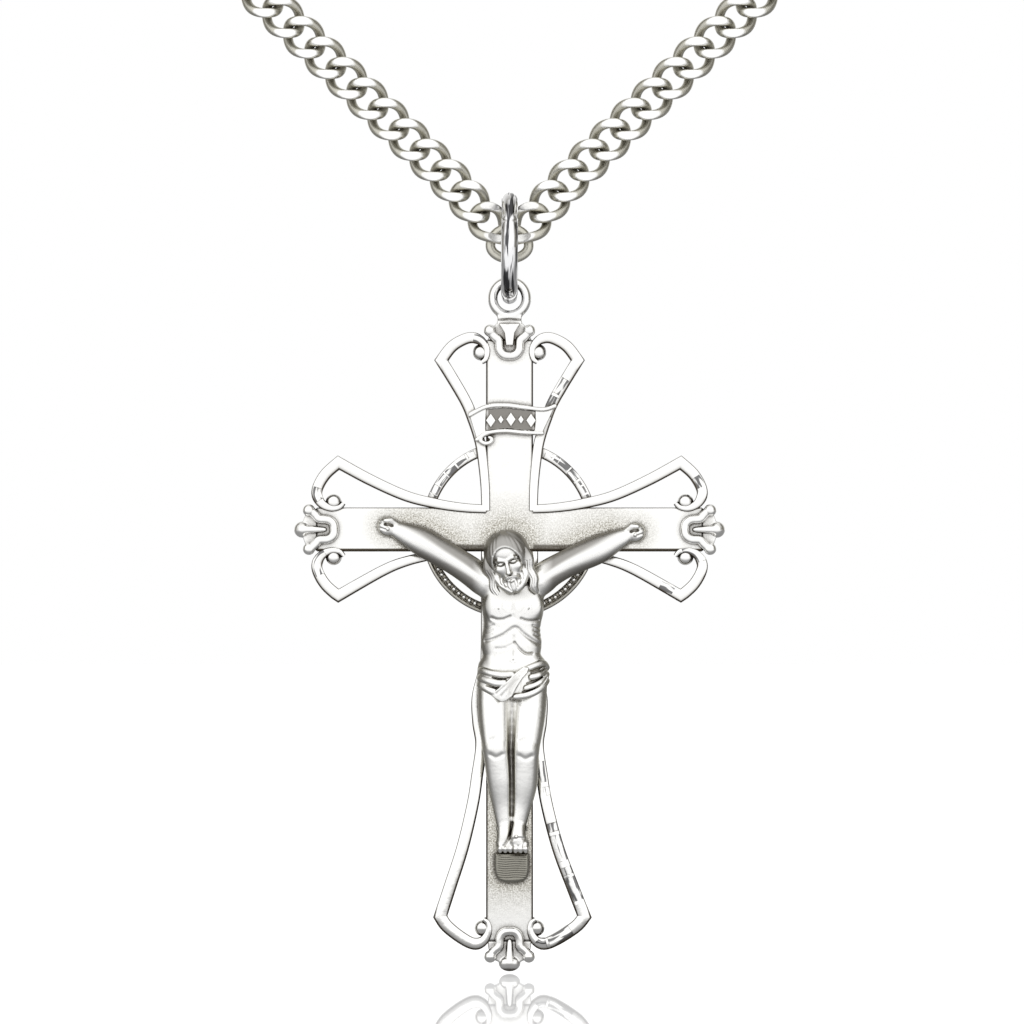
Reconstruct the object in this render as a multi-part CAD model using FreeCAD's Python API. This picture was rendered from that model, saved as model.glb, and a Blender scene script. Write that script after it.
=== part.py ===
import FreeCAD, Part
import math
import os

os.makedirs("parts", exist_ok=True)

# Frame: millimetres, +Z up. The pendant hangs in the XZ plane and faces -Y.
# x = 0 is the pendant's centre line and z = 0 is its lowest point.

V = FreeCAD.Vector

# ---- cross beams and frame wires ----
CROSS_Z = 32.53            # height of the crossing's centre
FRONT_Y = -0.43            # front plane of beams and frame wires
BACK_Y = 1.17              # flat back of the casting
UPRIGHT_W = 3.46
UPRIGHT_TOP = 13.95        # above the crossing's centre
UPRIGHT_LOW = 30.3         # below the crossing's centre
CROSSBAR_H = 3.24
CROSSBAR_REACH = 14.2      # half length
RAIL_W = 0.80
FOOT_RAIL_W = 0.88
EDGE_BREAK = 0.12          # chamfer on the front edges of the beams
PEARL_R = 0.56
PEARL_Y = -0.03

# ---- palmettes ----
RELIEF = 0.42              # height of raised ornament over the front plane
U_WIRE_W = 0.62
KNOB_R = 0.60
SMALL_PEARL_R = 0.44

# ---- nimbus ring ----
NIMBUS_R = 6.12
NIMBUS_W = 0.76
NIMBUS_SET = 0.15          # ring set back from the front and back planes
BEAD_R = 0.17
BEADS_PER_ARC = 9

# ---- bail eye and jump ring ----
EYE_Z = 49.57
EYE_HOLE_R = 0.88
EYE_WALL = 0.72
EYE_DEPTH = 1.10
RING_R = 3.50
RING_WIRE = 1.25
RING_LOW_Z = 49.755        # centre of the ring's wire inside the eye

# ---- curb chain ----
WIRE = 0.72
LINK_A = 1.47              # half length of the link's centre line
LINK_B = 1.19              # half width of the link's centre line
LINK_TWIST = 50.0          # twist at each end, degrees
PITCH = 2.16
FLAT_Z = 0.70              # half thickness between the two ground flats
APEX_Z = 53.605            # centre of the lowest link
APEX_A = 1.41
APEX_B = 1.27
LINKS = 13                 # links in each strand
STRAND_SLOPE = 44.2

# ---- chain ends ----
END_ROLL = -50.0
END_EYE_R = 1.30
END_GAP = 1.93             # from the last link's centre to the end eye's centre
CASE_R = 2.30
CASE_TUBE = 0.62
CASE_BORE = 0.44
CASE_OFFSET = 4.25         # from the end eye's centre to the clasp's centre
MOUTH_START = 40.0
MOUTH_ANGLE = 48.0
SLIDER_R = 0.30
TAG_BORE_R = 1.50
TAG_OUTER_R = 2.25
TAG_T = 0.80
TAG_NECK_W = 1.50
TAG_OFFSET = 4.875


def save(shape, node):
    shape.exportStep("parts/%s.step" % node)


def local_point(u, v, arm):
    """Arm frame: u runs outward along the arm, v across it. Returns x, z."""
    du, dv = {"top": ((0, 1), (-1, 0)), "foot": ((0, -1), (-1, 0)),
              "left": ((-1, 0), (0, 1)), "right": ((1, 0), (0, 1))}[arm]
    return (u * du[0] + v * dv[0], CROSS_Z + u * du[1] + v * dv[1])


def offset_points(path, distance):
    """Mitred copy of an open polyline, moved sideways by a distance."""
    out = []
    for i, (px, pz) in enumerate(path):
        normals = []
        for a, b in ((i - 1, i), (i, i + 1)):
            if a >= 0 and b < len(path):
                dx, dz = path[b][0] - path[a][0], path[b][1] - path[a][1]
                size = math.hypot(dx, dz)
                normals.append((-dz / size, dx / size))
        nx = sum(n[0] for n in normals) / len(normals)
        nz = sum(n[1] for n in normals) / len(normals)
        scale = distance / (nx * nx + nz * nz)
        out.append((px + nx * scale, pz + nz * scale))
    return out


def prism(outline, y0, y1):
    wire = Part.makePolygon([V(x, y0, z) for x, z in outline + outline[:1]])
    return Part.Face(wire).extrude(V(0, y1 - y0, 0))


def ribbon(path, width, y0=FRONT_Y, y1=BACK_Y):
    left = offset_points(path, width / 2)
    right = offset_points(path, -width / 2)
    return prism(left + right[::-1], y0, y1)


def smooth(path, steps=4):
    """Catmull-Rom points through an open path."""
    pts = [path[0]] + list(path) + [path[-1]]
    out = []
    for i in range(1, len(pts) - 2):
        for k in range(steps):
            t = k / steps
            out.append(tuple(
                0.5 * (2 * pts[i][c] + (pts[i + 1][c] - pts[i - 1][c]) * t
                       + (2 * pts[i - 1][c] - 5 * pts[i][c] + 4 * pts[i + 1][c] - pts[i + 2][c]) * t * t
                       + (3 * pts[i][c] - pts[i - 1][c] - 3 * pts[i + 1][c] + pts[i + 2][c]) * t ** 3)
                for c in (0, 1)))
    return out + [path[-1]]


def mirror_x(shape):
    return shape.mirror(V(0, 0, 0), V(1, 0, 0))


def ellipsoid(center, radii, axis_tilt=0.0):
    ball = Part.makeSphere(1.0)
    m = FreeCAD.Matrix()
    m.scale(*radii)
    ball = ball.transformGeometry(m)
    ball.rotate(V(0, 0, 0), V(0, 1, 0), axis_tilt)
    ball.translate(V(*center))
    return ball


def ellipse_wire(center, rx, ry, tilt=0.0):
    """Horizontal ellipse, turned about Y by tilt degrees."""
    a, b = max(rx, ry), min(rx, ry)
    e = Part.Ellipse(V(0, 0, 0), a, b).toShape()
    if ry > rx:
        e.rotate(V(0, 0, 0), V(0, 0, 1), 90)
    e.rotate(V(0, 0, 0), V(0, 1, 0), tilt)
    e.translate(V(*center))
    return Part.Wire([e])


def loft(sections, tilt=0.0):
    return Part.makeLoft([ellipse_wire((x, y, z), rx, ry, tilt) for x, y, z, rx, ry in sections], True)


def limb(stations):
    """Round limb lofted through (point, radius) stations, square to its path."""
    rings = []
    for i, (p, r) in enumerate(stations):
        before, after = stations[max(i - 1, 0)][0], stations[min(i + 1, len(stations) - 1)][0]
        rings.append(Part.Wire([Part.makeCircle(r, V(*p), (V(*after) - V(*before)).normalize())]))
    return Part.makeLoft(rings, True)


def compound(solids):
    return Part.makeCompound([s for s in solids])


# ---------------------------------------------------------------- beams
def chamfered_bar(x0, x1, z0, z1):
    e = EDGE_BREAK
    bar = Part.makeBox(x1 - x0, BACK_Y - FRONT_Y, z1 - z0, V(x0, FRONT_Y, z0))
    front = [k for k in bar.Edges if all(abs(p.Point.y - FRONT_Y) < 1e-6 for p in k.Vertexes)]
    return bar.makeChamfer(e, front)


upright = chamfered_bar(-UPRIGHT_W / 2, UPRIGHT_W / 2, CROSS_Z - UPRIGHT_LOW, CROSS_Z + UPRIGHT_TOP)
crossbar = chamfered_bar(-CROSSBAR_REACH, CROSSBAR_REACH, CROSS_Z - CROSSBAR_H / 2,
                         CROSS_Z + CROSSBAR_H / 2)

lap_y = (FRONT_Y + BACK_Y) / 2
lap = Part.makeBox(UPRIGHT_W, BACK_Y - FRONT_Y, CROSSBAR_H, V(-UPRIGHT_W / 2, lap_y, CROSS_Z - CROSSBAR_H / 2))
upright_beam = upright.cut(crossbar.cut(lap))
crossbar_beam = crossbar.cut(lap)

# ---------------------------------------------------------------- frame wires
TOP_EDGE = [(1.4, 1.75), (3.2, 1.80), (5.1, 1.98), (6.5, 2.20), (8.05, 2.68), (9.6, 3.32), (12.45, 5.02)]
SIDE_EDGE = [(1.73, 1.50), (3.4, 1.60), (5.3, 1.88), (7.6, 2.46), (10.2, 3.62), (12.6, 4.92)]
LOWER_EDGE = [(5.2, 1.80), (7.4, 2.28), (9.3, 3.02), (12.6, 4.88)]
END_CURL = [(13.5, 4.12), (14.05, 3.25), (14.22, 2.62), (14.05, 2.05)]
FOOT_EDGE = [(1.62, 1.75), (9.2, 1.76), (10.6, 2.0), (12.4, 2.40), (14.2, 2.34), (15.9, 2.10), (18.1, 2.38),
             (20.3, 2.72), (23.4, 3.45), (26.3, 4.38), (28.5, 5.10)]
FOOT_CURL = [(29.2, 4.62), (30.1, 3.48), (30.6, 2.52), (30.45, 1.95)]


def place(points, arm, side):
    return [local_point(u, side * v, arm) for u, v in points]


def frame_wire(edge, curl, arm, side, width, beams):
    path = place(smooth(edge) + smooth(curl), arm, side)
    body = ribbon(path, width)
    for beam in beams:
        body = body.cut(beam)
    return max(body.Solids, key=lambda s: s.Volume)


rails = {}
for side, name in ((1, "left"), (-1, "right")):
    rails["top_rail_" + name] = frame_wire(TOP_EDGE, END_CURL, "top", side, RAIL_W, [upright, crossbar])
    rails["foot_rail_" + name] = frame_wire(FOOT_EDGE, FOOT_CURL, "foot", side, FOOT_RAIL_W,
                                            [upright, crossbar])
for arm in ("left", "right"):
    rails[arm + "_arm_upper_rail"] = frame_wire(SIDE_EDGE, END_CURL, arm, 1, RAIL_W,
                                                [crossbar, upright] + list(rails.values()))
    rails[arm + "_arm_lower_rail"] = frame_wire(LOWER_EDGE, END_CURL, arm, -1, RAIL_W,
                                                [crossbar, upright] + list(rails.values()))

# ---------------------------------------------------------------- volute pearls
PEARL_AT = {"top": (13.05, 2.25), "left": (12.95, 2.12), "right": (12.95, 2.12), "foot": (29.4, 2.12)}
pearls = {}
for arm, (u, v) in PEARL_AT.items():
    pair = []
    for side in (1, -1):
        x, z = local_point(u, side * v, arm)
        ball = Part.makeSphere(PEARL_R, V(x, PEARL_Y, z))
        ball = ball.fuse(Part.makeCylinder(PEARL_R * 0.8, BACK_Y - PEARL_Y - 0.2, V(x, PEARL_Y, z),
                                           V(0, 1, 0)))
        ball = ball.cut([upright, crossbar] + list(rails.values()))
        pair.append(max(ball.Solids, key=lambda s: s.Volume))
    pearls[arm + "_volute_pearls"] = pair

# ---------------------------------------------------------------- palmettes
def palmette(arm, base_u, knob_u, tip_v=1.42, knob=True):
    """Raised U wire with end pearls around a leaf that ends in a knob."""
    y0, y1 = FRONT_Y - RELIEF, FRONT_Y
    bend = knob_u - 2.35
    half = 0.78
    path = [(bend + 1.75, tip_v), (bend + 1.35, 1.05), (bend + 0.8, half), (bend, half * 0.92),
            (bend - 0.38, 0.45), (bend - 0.47, 0.0)]
    path = path + [(u, -v) for u, v in path[-2::-1]]
    wire = ribbon([local_point(u, v, arm) for u, v in smooth(path)], U_WIRE_W, y0, y1)
    solids = [wire]
    base = [(base_u, 1.62), (bend + 1.3, 1.55), (bend + 2.05, 1.25), (knob_u, 0.45)]
    base = base + [(u, -v) for u, v in base[::-1]]
    plate = prism([local_point(u, v, arm) for u, v in base], FRONT_Y, BACK_Y)
    for side in (1, -1):
        x, z = local_point(bend + 1.85, side * tip_v, arm)
        solids.append(Part.makeSphere(SMALL_PEARL_R, V(x, FRONT_Y - 0.05, z)))
    leaf = [(bend + 0.35, 0.16), (bend + 1.4, 0.24), (knob_u, 0.34)]
    leaf = leaf + [(u, -v) for u, v in leaf[::-1]]
    solids.append(prism([local_point(u, v, arm) for u, v in leaf], y0 + 0.08, y1 + 0.05))
    if knob:
        x, z = local_point(knob_u, 0.0, arm)
        solids.append(Part.makeSphere(KNOB_R, V(x, FRONT_Y + 0.28, z)))
    return plate.fuse(solids).removeSplitter()


palmettes = {
    "right_palmette": palmette("right", CROSSBAR_REACH, 15.27),
    "foot_palmette": palmette("foot", UPRIGHT_LOW, CROSS_Z - KNOB_R, 1.30),
    "top_palmette": palmette("top", UPRIGHT_TOP, 15.15, 1.45, False),
}
solid_neighbours = [upright, crossbar] + list(rails.values()) + [p for pair in pearls.values() for p in pair]
for key, shape in palmettes.items():
    cut = shape.cut(solid_neighbours)
    palmettes[key] = max(cut.Solids, key=lambda s: s.Volume)
palmettes["left_palmette"] = mirror_x(palmettes["right_palmette"])

# ---------------------------------------------------------------- bail eye
eye_mid = EYE_HOLE_R + EYE_WALL / 2
section = Part.Ellipse(V(0, 0, 0), EYE_DEPTH / 2, EYE_WALL / 2).toShape()
section.rotate(V(0, 0, 0), V(0, 0, 1), 90)
section.translate(V(eye_mid, 0, 0))
bail_eye = Part.Face(Part.Wire([section])).revolve(V(0, 0, 0), V(0, 1, 0), 360)
bail_eye.translate(V(0, 0, EYE_Z))
neck = prism([(-1.05, 47.2), (-0.82, 48.3), (0.82, 48.3), (1.05, 47.2)], FRONT_Y, EYE_DEPTH / 2 - 0.1)
hole = Part.makeCylinder(EYE_HOLE_R + 0.12, 4, V(0, -2, EYE_Z), V(0, 1, 0))
bail_eye = bail_eye.fuse(neck.cut(hole)).cut(palmettes["top_palmette"]).removeSplitter()

# ---------------------------------------------------------------- title scroll
scroll_top = [(-2.95, 8.35), (-1.75, 9.20), (-0.35, 9.35), (1.05, 9.10), (2.5, 8.86), (3.35, 9.10)]
scroll_low = [(-2.40, 6.62), (-1.65, 7.20), (-0.35, 7.42), (1.05, 7.22), (2.4, 7.20)]
top_line = [(x, CROSS_Z + z) for x, z in smooth(scroll_top)]
low_line = [(x, CROSS_Z + z) for x, z in smooth(scroll_low)]
SCROLL_T = 0.30
title_scroll = prism(top_line + low_line[::-1], FRONT_Y - SCROLL_T, FRONT_Y)
for line in (top_line[1:-1], low_line[1:-1]):
    title_scroll = title_scroll.fuse(ribbon(line, 0.28, FRONT_Y - SCROLL_T - 0.15, FRONT_Y - 0.1))
title_scroll = title_scroll.removeSplitter()

ornament = []
for k in range(-2, 3):
    x = 0.10 + 0.80 * k
    z = CROSS_Z + 8.18 - 0.02 * k * k
    w = 0.30 if k % 2 == 0 else 0.17
    lozenge = [(x - w, z), (x, z + 1.45 * w), (x + w, z), (x, z - 1.45 * w)]
    ornament.append(prism(lozenge, FRONT_Y - SCROLL_T - 0.16, FRONT_Y - SCROLL_T))

# ---------------------------------------------------------------- nimbus ring
def arc_piece(start, end, side, steps=14):
    """One quadrant of the ring between two angles, trimmed by what it is soldered to."""
    path = []
    for k in range(steps + 1):
        a = math.radians(start + (end - start) * k / steps)
        path.append((side * NIMBUS_R * math.cos(a), CROSS_Z + NIMBUS_R * math.sin(a)))
    arc = ribbon(path, NIMBUS_W, FRONT_Y + NIMBUS_SET, BACK_Y - NIMBUS_SET)
    arc = arc.cut([upright, crossbar] + list(rails.values()) + [title_scroll])
    return max(arc.Solids, key=lambda s: s.Volume)


upper_arcs = [arc_piece(12, 78, side) for side in (1, -1)]
lower_arcs = [arc_piece(-78, -12, side) for side in (1, -1)]
beads = []
for side in (1, -1):
    for k in range(BEADS_PER_ARC):
        a = math.radians(-29 - 36.0 * k / (BEADS_PER_ARC - 1))
        beads.append(Part.makeSphere(BEAD_R, V(side * NIMBUS_R * math.cos(a), FRONT_Y + 0.15,
                                               CROSS_Z + NIMBUS_R * math.sin(a))).cut(lower_arcs))

# ---------------------------------------------------------------- figure
SEAT_Y = FRONT_Y           # the figure's back lies on the beams' front


def build_figure():
    torso = loft([(0.30, -0.70, 20.6, 2.05, 1.15), (0.32, -0.75, 22.6, 2.15, 1.20),
                  (0.35, -0.90, 24.6, 1.90, 1.15),
                  (0.30, -1.05, 26.4, 2.15, 1.30), (0.25, -1.15, 28.0, 2.40, 1.35),
                  (0.20, -0.95, 29.3, 2.25, 1.10), (0.15, -0.70, 29.9, 1.10, 0.80)])
    legs = []
    for side, hip_x, knee_x, foot_x in ((-1, -0.95, -0.65, -0.05), (1, 1.35, 0.80, 0.45)):
        legs.append(limb([((hip_x, -0.75, 22.6), 1.25), ((hip_x * 0.95, -1.15, 19.6), 1.22),
                          ((knee_x, -1.55, 16.2), 0.95), ((knee_x * 0.9, -1.05, 13.8), 0.98),
                          ((foot_x, -0.95, 10.8), 0.62), ((foot_x + 0.1, -1.15, 9.6), 0.60)]))
    feet = limb([((0.15, -1.2, 10.2), 0.66), ((0.2, -1.45, 9.3), 0.72), ((0.2, -1.35, 8.6), 0.60)])
    arms = []
    for shoulder, elbow, wrist, hand in (
            ((-2.05, -0.80, 29.0), (-4.75, -1.05, 30.2), (-7.75, -0.80, 32.15), (-9.15, -0.80, 32.95)),
            ((2.45, -0.80, 29.1), (5.60, -1.05, 30.1), (8.35, -0.80, 31.7), (9.70, -0.80, 32.5))):
        arms.append(limb([(shoulder, 0.92), (elbow, 0.70), (wrist, 0.42), (hand, 0.52)]))
    head = ellipsoid((-0.05, -2.05, 30.15), (1.12, 1.15, 1.50), -10)
    hair = ellipsoid((0.0, -1.60, 30.55), (1.60, 1.20, 1.62), -6)
    locks = [limb([((s * 1.25, -1.5, 30.2), 0.48), ((s * 1.20 + 0.05, -1.55, 28.2), 0.32)])
             for s in (-1, 1)]
    beard = ellipsoid((-0.10, -2.45, 29.0), (0.62, 0.55, 0.75))
    figure = torso.fuse(legs + [feet] + arms + [head, hair, beard] + locks)
    behind = Part.makeBox(60, 10, 60, V(-30, SEAT_Y, 0))
    figure = figure.cut(behind)
    return max(figure.Solids, key=lambda s: s.Volume)


def build_loincloth(figure):
    wrap = loft([(0.30, -0.85, 20.2, 2.25, 1.35), (0.32, -0.90, 21.4, 2.45, 1.55),
                 (0.35, -0.90, 22.4, 2.40, 1.50), (0.35, -0.90, 22.95, 2.25, 1.40)])
    knot = ellipsoid((2.0, -1.9, 21.4), (0.95, 0.6, 0.85), 25)
    tail = ellipsoid((2.45, -1.2, 19.9), (0.45, 0.5, 1.5), -6)
    flap = ellipsoid((0.45, -2.2, 21.0), (1.35, 0.38, 0.50), -42)
    cloth = wrap.fuse([knot, tail, flap]).cut(Part.makeBox(60, 10, 60, V(-30, SEAT_Y, 0)))
    cloth = cloth.cut(figure)
    return max(cloth.Solids, key=lambda s: s.Volume)


corpus = build_figure()
foot_block = prism([(-1.05, 8.75), (-1.05, 7.2), (-0.75, 6.72), (0.2, 6.55), (1.1, 6.72), (1.40, 7.2),
                    (1.40, 8.75)], SEAT_Y - 1.25, SEAT_Y).cut(corpus)
foot_block = max(foot_block.Solids, key=lambda s: s.Volume)
loincloth = build_loincloth(corpus)

# ---------------------------------------------------------------- jump ring
jump_ring = Part.makeTorus(RING_R, RING_WIRE / 2, V(0, 0, RING_LOW_Z + RING_R), V(1, 0, 0))


# ---------------------------------------------------------------- chain links
def oval_wire(a, b, twist, count=36):
    points = []
    for k in range(count):
        t = 2 * math.pi * k / count
        tau = -math.radians(twist) * math.cos(t)
        y0 = b * math.sin(t)
        points.append(V(a * math.cos(t), y0 * math.cos(tau), y0 * math.sin(tau)))
    curve = Part.BSplineCurve()
    curve.interpolate(Points=points, PeriodicFlag=True)
    return curve


def swept_ring(curve, radius):
    """Round wire along a closed curve, swept as two halves."""
    first, last = curve.FirstParameter, curve.LastParameter
    halves = []
    for start, end in ((first, (first + last) / 2), ((first + last) / 2, last)):
        edge = curve.toShape(start, end)
        profile = Part.Wire([Part.makeCircle(radius, edge.valueAt(start), edge.tangentAt(start))])
        halves.append(Part.Wire([edge]).makePipeShell([profile], True, False))
    return halves[0].fuse(halves[1])


def curb_link(a, b, twist):
    link = swept_ring(oval_wire(a, b, twist), WIRE / 2)
    for sign in (1, -1):
        z0 = FLAT_Z if sign > 0 else -FLAT_Z - 1
        link = link.cut(Part.makeBox(8, 8, 1, V(-4, -4, z0)))
    return max(link.Solids, key=lambda s: s.Volume)


def pose(shape, x, z, slope, roll):
    """Local x lies down the left strand and local z faces the viewer."""
    s = shape.copy()
    s.rotate(V(0, 0, 0), V(1, 0, 0), roll)
    s.rotate(V(0, 0, 0), V(1, 0, 0), 90)
    s.rotate(V(0, 0, 0), V(0, 1, 0), slope)
    s.translate(V(x, 0, z))
    return s


# centre x, height over the apex link, slope and roll of the first four links of the left strand
TURN = [(-1.43, 1.37, 49.0, -27.5), (-2.856, 2.993, 48.6, -15.5), (-4.312, 4.588, 47.0, -4.0),
        (-5.834, 6.12, STRAND_SLOPE, 0.0)]
standard = curb_link(LINK_A, LINK_B, LINK_TWIST)
stations = list(TURN)
while len(stations) < LINKS:
    x, z, slope, roll = stations[-1]
    step = math.radians(STRAND_SLOPE)
    stations.append((x - PITCH * math.cos(step), z + PITCH * math.sin(step), STRAND_SLOPE, 0.0))

links = {}
for k, (x, z, slope, roll) in enumerate(stations):
    left = pose(standard, x, APEX_Z + z, slope, roll)
    links["left_link_%02d" % k] = left
    links["right_link_%02d" % k] = mirror_x(left)
apex_link = pose(curb_link(APEX_A, APEX_B, 0.0), 0, APEX_Z, 0, 0)


# ---------------------------------------------------------------- chain ends
def torus_sector(major, minor, start, sweep):
    t = Part.makeTorus(major, minor, V(0, 0, 0), V(0, 0, 1), 0, 360, sweep)
    t.rotate(V(0, 0, 0), V(0, 0, 1), start)
    return t


last_x, last_z = stations[-1][0], APEX_Z + stations[-1][1]
slope = math.radians(STRAND_SLOPE)
end_x = last_x - END_GAP * math.cos(slope)
end_z = last_z + END_GAP * math.sin(slope)

case_end = MOUTH_START + MOUTH_ANGLE
case = torus_sector(CASE_R, CASE_TUBE, case_end, 360 - MOUTH_ANGLE)
case = case.cut(torus_sector(CASE_R, CASE_BORE, case_end - 1, 362 - MOUTH_ANGLE - 70))
case = case.cut(torus_sector(CASE_R, CASE_BORE, MOUTH_START - 12, 13))
slot = Part.makeCylinder(CASE_R + 2, 0.66, V(0, 0, -0.33), V(0, 0, 1), 66)
slot = slot.cut(Part.makeCylinder(CASE_R, 0.66, V(0, 0, -0.33), V(0, 0, 1)))
slot.rotate(V(0, 0, 0), V(0, 0, 1), case_end - 0.5)
case = case.cut(slot)
clasp_shift = V(-CASE_OFFSET, 0, 0)
case.translate(clasp_shift)
end_eye = Part.makeTorus(END_EYE_R, WIRE / 2, V(0, 0, 0), V(0, 0, 1))
end_eye = end_eye.cut(case)
end_eye = max(end_eye.Solids, key=lambda s: s.Volume)

slider = torus_sector(CASE_R, SLIDER_R, MOUTH_START - 8, MOUTH_ANGLE + 8 + 24)
knob_angle = math.radians(case_end + 5)
knob_dir = V(math.cos(knob_angle), math.sin(knob_angle), 0)
slider = slider.fuse(Part.makeCylinder(0.22, 1.0, knob_dir * CASE_R, knob_dir))
slider = slider.fuse(Part.makeSphere(0.36, knob_dir * (CASE_R + 1.15)))
slider.translate(clasp_shift)

tag = Part.makeCylinder(TAG_OUTER_R, TAG_T, V(-TAG_OFFSET, 0, -TAG_T / 2))
bridge_x = -TAG_OFFSET + (TAG_BORE_R + TAG_OUTER_R) / 2
tag = tag.fuse(Part.makeBox(-bridge_x, TAG_NECK_W, WIRE, V(bridge_x, -TAG_NECK_W / 2, -WIRE / 2)))
tag = tag.cut(Part.makeCylinder(TAG_BORE_R, TAG_T, V(-TAG_OFFSET, 0, -TAG_T / 2)))
tag = tag.cut(Part.makeCylinder(END_EYE_R, TAG_T, V(0, 0, -TAG_T / 2)))
tag = tag.fuse(Part.makeTorus(END_EYE_R, WIRE / 2, V(0, 0, 0), V(0, 0, 1))).removeSplitter()

clasp_case = pose(case, end_x, end_z, STRAND_SLOPE, END_ROLL)
clasp_eye = pose(end_eye, end_x, end_z, STRAND_SLOPE, END_ROLL)
clasp_slider = pose(slider, end_x, end_z, STRAND_SLOPE, END_ROLL)
end_tag = mirror_x(pose(tag, end_x, end_z, STRAND_SLOPE, END_ROLL))

# ---------------------------------------------------------------- export
nodes = {"upright_beam": upright_beam, "crossbar": crossbar_beam}
nodes.update(rails)
nodes.update({k: compound(v) for k, v in pearls.items()})
nodes.update(palmettes)
nodes.update({"bail_eye": bail_eye, "title_scroll": title_scroll, "scroll_ornament": compound(ornament),
              "nimbus_upper_arcs": compound(upper_arcs), "nimbus_lower_arcs": compound(lower_arcs),
              "nimbus_beads": compound(beads), "corpus": corpus, "loincloth": loincloth,
              "foot_block": foot_block, "jump_ring": jump_ring, "apex_link": apex_link,
              "clasp_case": clasp_case, "clasp_eye": clasp_eye, "clasp_slider": clasp_slider,
              "end_tag": end_tag})
nodes.update(links)
for node, shape in nodes.items():
    save(shape, node)
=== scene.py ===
import math
import random

import bpy
import numpy as np
import openvdb
from mathutils import Euler, Matrix, Vector


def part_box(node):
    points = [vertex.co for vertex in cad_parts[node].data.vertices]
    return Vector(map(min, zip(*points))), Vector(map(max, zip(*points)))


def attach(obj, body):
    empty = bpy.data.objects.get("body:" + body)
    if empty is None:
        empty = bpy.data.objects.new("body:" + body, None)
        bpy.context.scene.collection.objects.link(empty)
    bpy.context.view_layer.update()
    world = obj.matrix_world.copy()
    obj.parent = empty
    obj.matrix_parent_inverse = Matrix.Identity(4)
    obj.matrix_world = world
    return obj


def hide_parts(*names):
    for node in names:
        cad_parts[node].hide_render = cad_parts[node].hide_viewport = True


MM = 0.001
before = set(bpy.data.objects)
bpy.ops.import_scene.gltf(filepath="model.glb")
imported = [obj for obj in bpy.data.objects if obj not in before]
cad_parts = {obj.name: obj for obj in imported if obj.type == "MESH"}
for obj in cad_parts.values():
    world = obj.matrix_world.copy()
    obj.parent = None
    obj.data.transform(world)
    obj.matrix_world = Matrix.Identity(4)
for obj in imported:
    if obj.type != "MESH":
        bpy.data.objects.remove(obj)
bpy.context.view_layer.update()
SEED = 7


def box_mm(node):
    low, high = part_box(node)
    return np.array(low) / MM, np.array(high) / MM


# ---------------------------------------------------------------- places read from the frame, in mm
bar_low, bar_high = box_mm("crossbar")
post_low, post_high = box_mm("upright_beam")
ring_low, ring_high = box_mm("jump_ring")
eye_low, eye_high = box_mm("bail_eye")
FRONT, BACK = bar_low[1], bar_high[1]
CROSS_Z = (bar_low[2] + bar_high[2]) / 2
POST_HALF = post_high[0]
BAR_HALF = (bar_high[2] - bar_low[2]) / 2
RING_WIRE = ring_high[0] - ring_low[0]
RING_R = (ring_high[2] - ring_low[2] - RING_WIRE) / 2
RING_Z = (ring_high[2] + ring_low[2]) / 2


# ---------------------------------------------------------------- meshes and pieces
def ease(value, start, end):
    """0 at start, 1 at end, straight between them and level outside. end may lie below start."""
    return np.clip((value - start) / (end - start), 0, 1)


def mesh_piece(name, verts, faces, body="pendant", node=None):
    """A visible piece from vertices in millimetres. It rides on a body and may replace CAD nodes."""
    mesh = bpy.data.meshes.new(name)
    verts = np.asarray(verts, np.float32) * MM
    corners = np.fromiter((i for face in faces for i in face), np.int32)
    starts = np.cumsum([0] + [len(face) for face in faces])[:-1].astype(np.int32)
    mesh.vertices.add(len(verts))
    mesh.vertices.foreach_set("co", verts.ravel())
    mesh.loops.add(len(corners))
    mesh.loops.foreach_set("vertex_index", corners)
    mesh.polygons.add(len(faces))
    mesh.polygons.foreach_set("loop_start", starts)
    mesh.update(calc_edges=True)
    mesh.validate()
    mesh.shade_smooth()
    obj = bpy.data.objects.new(name, mesh)
    bpy.context.scene.collection.objects.link(obj)
    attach(obj, body)
    if node:
        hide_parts(*([node] if isinstance(node, str) else node))
    return obj


def paint(obj, material):
    obj.data.materials.clear()
    obj.data.materials.append(material)


# ---------------------------------------------------------------- sculpting in a distance field
def smooth_min(a, b, k):
    h = np.clip(0.5 + 0.5 * (b - a) / k, 0, 1)
    return b + (a - b) * h - k * h * (1 - h)


def squared_distance(x, z, a, b):
    """From every place to the straight line from a to b, in x and z."""
    ba = b - a
    t = np.clip(((x - a[0]) * ba[0] + (z - a[1]) * ba[1]) / max(ba @ ba, 1e-9), 0, 1)
    return (x - a[0] - t * ba[0]) ** 2 + (z - a[1] - t * ba[1]) ** 2


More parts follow.
